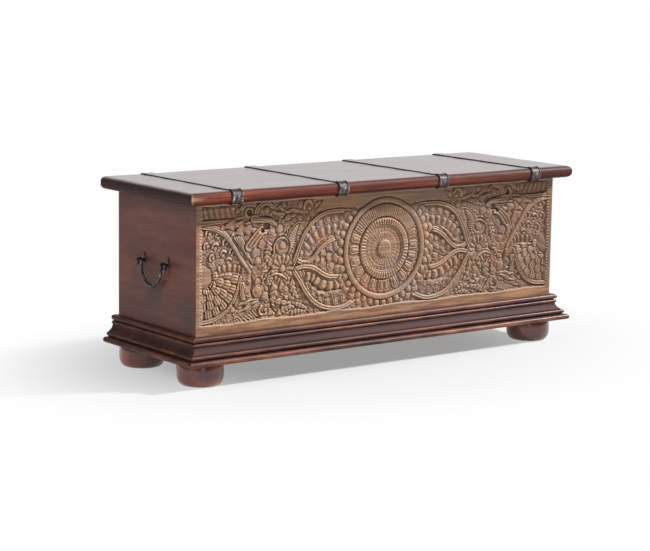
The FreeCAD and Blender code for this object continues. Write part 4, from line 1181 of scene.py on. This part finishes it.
# %% Iron and steel
def strap_iron():
    """Iron round the nosing, with bright beads that painted shade dims to the right, and
    painted shade where it bends over and under; on top it is as glossy as the lid."""
    f = Finish("strap_iron")
    dents = f.noise((160.0, 160.0, 160.0), 3.0, 0.6)
    clasp = f.y.rising(lid_low.y + 0.02, lid_low.y + 0.014)
    over = f.z.rising(lid_high.z - 0.011, lid_high.z - 0.004)
    under = f.z.rising(lid_low.z + 0.008, lid_low.z + 0.001)
    bend_shade = (over + under) * clasp
    iron = f.mix(dents.rising(0.35, 0.7), stain(52, 45, 45), stain(116, 103, 101))
    colour = f.mix(clasp, stain(70, 62, 64), iron)
    colour = f.mix(f.attribute("rim") * 0.9, colour, stain(74, 64, 68))
    # Painted shade where the clasp bends over and under the nose.
    colour = f.mix(bend_shade * 0.85, colour, stain(34, 28, 30))
    # Beads rubbed bright, dimmed towards the right by painted shade.
    worn = f.attribute("wear") * dents.rising(0.4, 0.6) * f.x.rising(0.5, -0.5)
    worn = worn * (1 - bend_shade * 0.9)
    colour = f.mix(worn * 0.8, colour, stain(206, 200, 198))
    return f.done(colour, 0.5 - 0.1 * worn, f.bumps(dents, 0.0007, 0.4),
                  Metallic=0.3 * clasp,
                  Coat_Weight=(0.85 - 0.85 * clasp) * (1 - f.attribute("rim")),
                  Coat_Roughness=0.2)


def old_iron(name, dark, light, rough, metallic, hammered=0.0008):
    """Forged iron: hammered, darkened, and brighter where the mesh says it is worn."""
    f = Finish(name)
    dents = f.noise((160.0, 160.0, 160.0), 3.0, 0.6)
    rust = f.noise((60.0, 60.0, 60.0), 4.0, 0.7, (3.0, 3.0, 8.0))
    colour = f.mix(dents.rising(0.35, 0.7), dark, light)
    colour = f.mix(rust.rising(0.55, 0.75) * 0.4, colour, stain(84, 58, 46))
    worn = f.attribute("wear") * dents.rising(0.3, 0.6)
    colour = f.mix(worn * 0.9, colour, stain(206, 202, 200))
    return f.done(colour, rough - 0.12 * worn, f.bumps(dents, hammered, 0.5),
                  Metallic=metallic)


finishes = {
    "case_wood": case_wood("case_wood", "y"), "back_wood": case_wood("back_wood", "x"),
    "lid_wood": lid_wood(), "base_wood": base_wood(), "foot_wood": foot_wood(),
    "inner_wood": inner_wood(), "strap_iron": strap_iron(),
    "nail_iron": old_iron("nail_iron", stain(84, 76, 76), stain(138, 128, 126), 0.55,
                          0.4),
    "handle_iron": old_iron("handle_iron", stain(46, 40, 42), stain(92, 84, 84), 0.42,
                            0.6),
    "hinge_steel": old_iron("hinge_steel", stain(98, 92, 86), stain(122, 116, 110), 0.45,
                            0.8, 0.0001),
    "screw_steel": old_iron("screw_steel", stain(122, 118, 112), stain(150, 146, 140),
                            0.4, 0.8, 0.0001)}
print("finishes", sorted(finishes))

# %% [markdown]
# ## The lid board
#
# The lid is one thick board. Its front and its ends are rounded to a nose, its back only
# eased. A Bevel modifier on a box would round all of them alike, so we walk once round its
# cross-section and carry that outline from end to end; the straps can then follow the same
# walk. Near an end the outline is pressed flat, as far as the nose there allows, and the
# board's top gets the slow hollows that a hand plane leaves.

# %% Outline of the lid
NOSE, BACK_ROUND = 13.5 * MM, 5.0 * MM
LID_MIDDLE = (lid_low.z + lid_high.z) / 2
LID_HALF = (lid_high.z - lid_low.z) / 2


def lid_outline(run=36, bend=10):
    """Points and outward directions from under the front, over the top, to under the
    back: four quarter arcs with straight runs between them."""
    corners = [(lid_low.y + NOSE, lid_low.z + NOSE, NOSE, 270),
               (lid_low.y + NOSE, lid_high.z - NOSE, NOSE, 180),
               (lid_high.y - BACK_ROUND, lid_high.z - BACK_ROUND, BACK_ROUND, 90),
               (lid_high.y - BACK_ROUND, lid_low.z + BACK_ROUND, BACK_ROUND, 0)]
    runs = (3, run, 3, 0)
    points, ways = [], []
    for number, (y, z, radius, start) in enumerate(corners):
        turned_by = np.radians(np.linspace(start, start - 90, bend))
        way = np.column_stack([np.cos(turned_by), np.sin(turned_by)])
        points.append(np.array([y, z]) + radius * way)
        ways.append(way)
        if runs[number]:
            next_y, next_z, next_radius, _ = corners[number + 1]
            end = np.array([next_y, next_z]) + next_radius * way[-1]
            share = np.linspace(0, 1, runs[number] + 2)[1:-1, None]
            points.append(points[-1][-1] * (1 - share) + end * share)
            ways.append(np.repeat(way[-1:], runs[number], axis=0))
    return np.concatenate(points), np.concatenate(ways)


print("points on the lid's outline", len(lid_outline()[0]))


# %% Make the lid board
CORNER_ROUND = 1.5 * MM
PLANED = 0.18 * MM


def lid_piece():
    """Outline carried along x. At a distance e from an end its half height is at most
    half - nose + sqrt(nose^2 - (nose - e)^2), and the plan corner is rounded alike. The
    top sinks by PLANED times 2 less a sum of two sines."""
    section, _ = lid_outline()
    share = np.linspace(1, 0, 30)[1:-1, None]
    under = section[:1] * (1 - share) + section[-1:] * share
    section = np.concatenate([section, under])
    at_end = NOSE * (1 - np.cos(np.linspace(0, np.pi / 2, 12)))
    inner = np.linspace(NOSE, lid_high.x - lid_low.x - NOSE, 150)[1:-1]
    from_left = np.concatenate([at_end, inner, (lid_high.x - lid_low.x - at_end)[::-1]])
    e = np.minimum(from_left, lid_high.x - lid_low.x - from_left)[:, None]
    x = (lid_low.x + from_left)[:, None] + 0 * section[:, 0]
    press = LID_HALF - NOSE + np.sqrt(NOSE ** 2 - (NOSE - np.minimum(e, NOSE)) ** 2)
    near = np.minimum(e, CORNER_ROUND)
    inset = CORNER_ROUND - np.sqrt(CORNER_ROUND ** 2 - (CORNER_ROUND - near) ** 2)
    y = np.clip(section[:, 0], lid_low.y + inset, lid_high.y - inset * 0.4)
    z = np.clip(section[:, 1] - LID_MIDDLE, -press, press)
    hollow = PLANED * (np.sin(y * 61 + 2 * np.sin(x * 7)) + np.sin(x * 23 + y * 11) - 2)
    z = z + hollow * (z > LID_HALF * 0.9)
    rings = np.stack([x, y, LID_MIDDLE + z], axis=-1)
    return tube_piece("lid_plank", rings, "lid", ["lid_board"], 60.0)


lid_plank = lid_piece()
lid_plank.data.materials.append(finishes["lid_wood"])
print("lid plank faces", len(lid_plank.data.polygons))

# %% [markdown]
# ## Iron straps and their clasps
#
# Each strap is a flat band that follows the lid's outline, so it uses the same walk round
# the section. Its height over the wood is a function of two parameters: how far along the
# path and how far across the band. Round the nosing it has two raised beads, rubbed bright.
# The nail between them is a CAD part that keeps its shape.

# %% Make the straps
STRAP_HALF, STRAP_THICK = 14.5 * MM, 2.0 * MM
BEAD_RISE, BEAD_HALF = 1.5 * MM, 2.25 * MM
CLASP_REACH, STRAP_RETURN = 20.0 * MM, 7.0 * MM
STRAPS = ["outer_left", "inner_left", "inner_right", "outer_right"]
strap_centres = [sum(v.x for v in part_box("strap_" + place)) / 2 for place in STRAPS]


def strap_piece(place, centre):
    """Height over the lid: thickness (0.55 + 0.45 eased), where eased goes to 0 at both
    edges, plus two half-round beads that end CLASP_REACH back from the nosing, plus
    hammer marks."""
    path, ways = lid_outline(60, 12)
    head = path[:1] + [[STRAP_RETURN, 0]]
    tail = path[-1:] - [[STRAP_RETURN, 0]]
    path = np.concatenate([head, path, tail])
    ways = np.concatenate([ways[:1], ways, ways[-1:]])
    across = np.linspace(-STRAP_HALF, STRAP_HALF, 27)
    from_edge = STRAP_HALF - np.abs(across)
    eased = np.clip(from_edge / (0.8 * MM), 0, 1) ** 0.5
    on_bead = 1 - ((np.abs(across) - STRAP_HALF + BEAD_HALF) / BEAD_HALF) ** 2
    bead = np.sqrt(np.clip(on_bead, 0, 1))
    reach = lid_low.y + CLASP_REACH - path[:, 0]
    clasp = np.clip(reach / (3 * MM), 0, 1)[:, None]
    hammer = softened(chance.normal(0, 1, (len(path), len(across))), 1) * 0.12 * MM
    rise = STRAP_THICK * (0.55 + 0.45 * eased) + BEAD_RISE * bead * clasp + hammer * eased
    rise = np.minimum(rise, STRAP_THICK + BEAD_RISE)
    outer = path[:, None, :] + ways[:, None, :] * rise[..., None]
    inner = np.repeat(path[:, None, :] + ways[:, None, :] * 0.05 * MM, 2, axis=1)
    flat = np.concatenate([outer, inner], axis=1)
    x = centre + np.concatenate([across, [STRAP_HALF, -STRAP_HALF]])
    rings = np.concatenate([np.broadcast_to(x[None, :, None], (*flat.shape[:2], 1)),
                            flat], axis=-1)
    piece = tube_piece("clasped_strap_" + place, rings, "lid",
                       ["strap_" + place], 50.0)
    wear = np.concatenate([bead * clasp, np.zeros((len(path), 2))], axis=1)
    tag(piece, "wear", wear)
    rim = np.concatenate([from_edge < 0.6 * MM, [True, True]])
    tag(piece, "rim", np.broadcast_to(rim, (len(path), len(rim))) * (1 - 0.8 * clasp))
    piece.data.materials.append(finishes["strap_iron"])
    return piece


straps = [strap_piece(place, centre) for place, centre in zip(STRAPS, strap_centres)]
print("straps at", [round(c, 3) for c in strap_centres], "faces",
      [len(strap.data.polygons) for strap in straps])

# %% [markdown]
# ## Turned feet
#
# The bun feet were turned on a lathe, so each is a surface of revolution: a profile of
# radius and height, in millimetres, smoothed and carried round an upright axis. A Screw
# modifier can do that too; as arrays, a foot is one more tube for the function we have.

# %% Make the feet
FOOT_RADIUS, FOOT_HEIGHT, FOOT_CORE = 55, 54, 0.3
FOOT_PROFILE = [(0.3, 0), (24, 0), (40, 0), (42.4, 0.25), (45.6, 1.5), (49, 4.6),
                (51.8, 9.2), (53.8, 15), (54.8, 22), (55, 28), (55, 33), (54.7, 39),
                (54, 44.6), (53, 48.6), (51.6, 51.2), (49.6, 52.9), (46.6, 53.8), (43, 54),
                (20, 54), (0.3, 54)]


def turned_rings(profile, around):
    """Rings r (cos a, sin a) at height h for each point (r, h) of the profile."""
    radius, height = profile.T
    angle = np.linspace(0, 2 * np.pi, around, endpoint=False)
    return np.stack([radius[:, None] * np.cos(angle), radius[:, None] * np.sin(angle),
                     np.repeat(height[:, None], around, axis=1)], axis=-1)


def foot_piece(end, side):
    """The turned profile, kept within the foot's radius and height, on the CAD's axis."""
    node_name = f"foot_{end}_{side}"
    lowest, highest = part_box(node_name)
    path = curve(FOOT_PROFILE, 4)
    path = np.clip(path, [FOOT_CORE, 0], [FOOT_RADIUS, FOOT_HEIGHT])
    rings = turned_rings(path * MM, 96)
    rings[..., :2] += [(lowest.x + highest.x) / 2, (lowest.y + highest.y) / 2]
    piece = tube_piece(f"bun_foot_{end}_{side}", rings, "case", [node_name],
                       60.0)
    piece.data.materials.append(finishes["foot_wood"])
    return piece


feet = [foot_piece(end, side) for end in ("front", "back") for side in ("left", "right")]
print("feet", [foot.name for foot in feet])

# %% [markdown]
# ## Base moulding
#
# The base is a planed moulding. From the top down it has a bead, a small round, a wide
# cove, a second bead and a lip, with dark quirks between them. Each of the five is a
# circular arc through three points, as on the cutter that planed it. The profile is carried
# along the front and both ends, and shortened where the pieces meet in a mitre. The mesh
# also stores where the profile stands proud, because the stain is rubbed off there, and
# where it is hollow, because painted shade darkens the quirks and the cove there.

# %% Profile of the moulding
MOULDING_HEIGHT = PLINTH_TOP - PLINTH_BASE
BOWS = [[(0.83, 0.0), (1.0, 0.1), (0.83, 0.2)],
        [(0.64, 0.235), (0.74, 0.31), (0.64, 0.385)],
        [(0.57, 0.42), (0.36, 0.53), (0.29, 0.655)],
        [(0.29, 0.655), (0.36, 0.72), (0.26, 0.785)],
        [(0.22, 0.81), (0.385, 0.905), (0.22, 1.0)]]
BOW_POINTS = 11
STANDING = [1.0, 0.75, 0.0, 0.7, 0.6]


def bow(start, middle, end):
    """Circular arc through three points, given as shares of the moulding's projection and
    height. Its centre m solves 2 (b - a) . m = b . b - a . a, and the same with c."""
    a, b, c = (np.array(p) * [PLINTH_OUT, MOULDING_HEIGHT] for p in (start, middle, end))
    sides = 2 * np.array([b - a, c - a])
    centre = np.linalg.solve(sides, [b @ b - a @ a, c @ c - a @ a])
    radius = np.hypot(*(a - centre))
    first, half_way, last = (math.atan2(p[1] - centre[1], p[0] - centre[0])
                             for p in (a, b, c))
    turns = np.unwrap([first, half_way, last])
    angle = np.linspace(turns[0], turns[2], BOW_POINTS)
    return centre + radius * np.column_stack([np.cos(angle), np.sin(angle)])


def moulding_profile():
    """Points of the five arcs and the quirks between them, bottom to top, and at each
    point how worn and how hollow it is; both swell as sin(pi s) along an arc."""
    arcs = [bow(*three) for three in BOWS]
    crown = np.sin(np.linspace(0, np.pi, BOW_POINTS))
    wear = [strength * crown for strength in STANDING]
    step_in = np.array([[0.62, 0.2], [0.62, 0.235]]) * [PLINTH_OUT, MOULDING_HEIGHT]
    quirk = np.array([[0.57, 0.385]]) * [PLINTH_OUT, MOULDING_HEIGHT]
    notch = np.array([[0.21, 0.785], [0.21, 0.81]]) * [PLINTH_OUT, MOULDING_HEIGHT]
    points = np.concatenate([arcs[0], step_in, arcs[1], quirk, arcs[2], arcs[3][1:],
                             notch, arcs[4]])
    worn = np.concatenate([wear[0], [0, 0], wear[1], [0], wear[2], wear[3][1:], [0, 0],
                           wear[4]])
    hollow = np.concatenate([0 * crown, [1, 1], 0 * crown, [1], 0.4 + 0.6 * crown,
                             0 * crown[1:], [1, 1], 0 * crown])
    return points, worn, hollow


print("points on the moulding's profile", len(moulding_profile()[0]))


# %% Make the mouldings
def moulding_rings(corner, far_corner, stations=220):
    """Profile points (out, up) along a run, with the wear and the hollow of each. corner
    and far_corner give, for a distance out, the points where the run starts and ends.
    The hand-planed profile wavers by 0.8 % in between."""
    points, worn, sunk = moulding_profile()
    back = np.array([[0.0, MOULDING_HEIGHT], [0.0, 0.0]])
    points = np.concatenate([points, back])
    worn = np.concatenate([worn, [0, 0]])
    sunk = np.concatenate([sunk, [0, 0]])
    share = np.linspace(0, 1, stations)[:, None]
    waver = 1 + 0.008 * np.sin(share * 37 + 4 * np.sin(share * 9)) * (share * (1 - share) * 4)
    out = np.minimum(points[:, 0] * waver, PLINTH_OUT)
    start = np.stack(corner(out), axis=-1)
    end = np.stack(far_corner(out), axis=-1)
    flat = start * (1 - share[..., None]) + end * share[..., None]
    height = np.broadcast_to(PLINTH_BASE + points[:, 1], out.shape)
    return np.concatenate([flat, height[..., None]], axis=-1), worn, sunk


SIDE_END_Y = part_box("plinth_left")[1].y


def front_corner(sign):
    """The mitre on the left (sign -1) or right (sign 1) front corner."""
    return lambda out: (sign * (HALF_WIDTH + out), FRONT_Y - out)


def back_end(sign):
    """The square end at the back rail, on the left or the right."""
    return lambda out: (sign * (HALF_WIDTH + out), 0 * out + SIDE_END_Y)


def moulding_piece(place, corner, far_corner):
    """One run of moulding as a closed tube, with its wear and hollow on the mesh."""
    rings, worn, sunk = moulding_rings(corner, far_corner)
    piece = tube_piece("moulding_" + place, rings, "case",
                       ["plinth_" + place], 35.0)
    tag(piece, "wear", np.broadcast_to(worn, rings.shape[:2]))
    tag(piece, "hollow", np.broadcast_to(sunk, rings.shape[:2]))
    piece.data.materials.append(finishes["base_wood"])
    return piece


mouldings = [moulding_piece("front", front_corner(-1), front_corner(1)),
             moulding_piece("left", front_corner(-1), back_end(-1)),
             moulding_piece("right", front_corner(1), back_end(1))]
print("mouldings", [moulding.name for moulding in mouldings])

# %% [markdown]
# ## Drop handles
#
# A handle is a bent iron rod: hooked ends, a straight bit through each eye, then a U. A
# curve object with a round bevel would give an even rod with flat ends. We draw the path
# once, smooth it and carry a round section along it, so that the radius can be hammered a
# little and can close like a half ball at both ends.

# %% Make the handles
ROD, HOOK_BEND, HOOK_DROP = 3.6 * MM, 5.5 * MM, 3.0 * MM
ARM_INSET = 19.4 * MM


def bail_path(top, bottom, reach):
    """Smooth line (y, z) from one hook end to the other: up the hook, in through the eye,
    down the arm and round a half circle of radius arm; the other half is its mirror."""
    bend = HOOK_BEND
    arm = reach - ARM_INSET
    half = [(-reach, top - bend - HOOK_DROP - ROD), (-reach, top - bend),
            (-reach + 1.6 * MM, top - 1.6 * MM), (-reach + bend, top),
            (-reach + bend + 4.2 * MM, top), (-arm - bend, top),
            (-arm - 1.6 * MM, top - 1.6 * MM), (-arm, top - bend)]
    angle = np.radians(np.linspace(180, 270, 6))
    bowl = [(arm * math.cos(a), bottom + arm + arm * math.sin(a)) for a in angle]
    left = half + bowl
    return curve(left + [(-y, z) for y, z in left[-2::-1]], 6)


def bail_piece(side):
    """Circles of radius r(s) about the path, in the plane of its normal and x. Over the
    last rod radius before an end, r falls as sqrt(1 - d^2); hammering only takes away."""
    lowest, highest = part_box("bail_" + side)
    x, middle = (lowest.x + highest.x) / 2, (lowest.y + highest.y) / 2
    reach = (highest.y - lowest.y) / 2 - ROD
    path = bail_path(highest.z - ROD, lowest.z + ROD, reach)
    step = np.gradient(path, axis=0)
    step /= np.hypot(*step.T)[:, None]
    normal = np.column_stack([-step[:, 1], step[:, 0]])
    gone = np.concatenate([[0], np.cumsum(np.hypot(*np.diff(path, axis=0).T))])
    from_end = np.minimum(gone, gone[-1] - gone)
    close = np.sqrt(np.clip(1 - (1 - np.clip(from_end / ROD, 0.004, 1)) ** 2, 0, 1))
    around = np.linspace(0, 2 * np.pi, 20, endpoint=False)
    dents = softened(chance.normal(0, 1, (len(path), 20)), 2)
    radius = (ROD * close)[:, None] * (1 + 0.05 * dents)
    radius = np.minimum(radius, ROD * close[:, None])
    away = radius[..., None] * np.cos(around)[None, :, None] * normal[:, None, :]
    flat = path[:, None, :] + away
    rings = np.stack([x + radius * np.sin(around), middle + flat[..., 0], flat[..., 1]],
                     axis=-1)
    piece = tube_piece("drop_handle_" + side, rings, "bail_" + side,
                       ["bail_" + side], 60.0)
    tag(piece, "wear", np.clip(dents * 0.8, 0, 1))
    piece.data.materials.append(finishes["handle_iron"])
    return piece


handles = [bail_piece(side) for side in ("left", "right")]
print("handles", [handle.name for handle in handles])

# %% [markdown]
# ## Pieces that keep their CAD shape
#
# Boards, eyes, plates and hinges are right as they are, only too sharp: a real edge is
# always broken a little. We copy the CAD mesh, merge its loose triangles, and let a Bevel
# modifier round the edges.

# %% Copies with broken edges
CLEATS = ["cleat_" + place for place in ("front", "back", "left", "right")]
BLOCKS = [f"foot_block_{end}_{side}" for end in ("front", "back")
          for side in ("left", "right")]
FITTINGS = [f"{thing}_{side}" for thing in ("handle_eyes", "rose_plates", "handle_washers")
            for side in ("left", "right")]
BROKEN_EDGES = [
    ("case_wood", 1.2, ["side_left", "side_right", "back_panel"]),
    ("base_wood", 1.2, ["plinth_back"]),
    ("inner_wood", 0.8, ["bottom_board", *CLEATS, *BLOCKS]),
    ("handle_iron", 0.5, FITTINGS),
    ("nail_iron", 0.3, ["strap_nails_front", "strap_nails_back"]),
    ("hinge_steel", 0.3, ["hinge_case_leaves", "hinge_lid_leaves", "hinge_pins"]),
    ("screw_steel", 0.2, ["hinge_case_screws", "hinge_lid_screws"])]
LID_NODES = set(frame["record"]["behaviour"]["bodies"]["lid"])


def broken_edges(node_name, slot_name, width):
    """Merged copy of a CAD node with a bevel of the given width, in millimetres."""
    mesh = frame["nodes"][node_name].data.copy()
    build = bmesh.new()
    build.from_mesh(mesh)
    bmesh.ops.remove_doubles(build, verts=build.verts, dist=0.01 * MM)
    bmesh.ops.dissolve_limit(build, angle_limit=math.radians(0.5), verts=build.verts,
                             edges=build.edges)
    build.to_mesh(mesh)
    build.free()
    if "custom_normal" in mesh.attributes:
        mesh.attributes.remove(mesh.attributes["custom_normal"])
    mesh.shade_smooth()
    mesh.materials.clear()
    mesh.materials.append(finishes["back_wood" if node_name == "back_panel"
                                   else slot_name])
    piece = bpy.data.objects.new("eased_" + node_name, mesh)
    bpy.context.scene.collection.objects.link(piece)
    bevel = piece.modifiers.new("broken edge", "BEVEL")
    bevel.width, bevel.segments = width * MM, 2
    bevel.limit_method, bevel.angle_limit = "ANGLE", math.radians(40)
    bevel.harden_normals = True
    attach(piece, "lid" if node_name in LID_NODES else "case")
    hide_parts(node_name)
    return piece


eased = [broken_edges(node_name, slot_name, width)
         for slot_name, width, names in BROKEN_EDGES for node_name in names]
print("pieces with broken edges", len(eased))
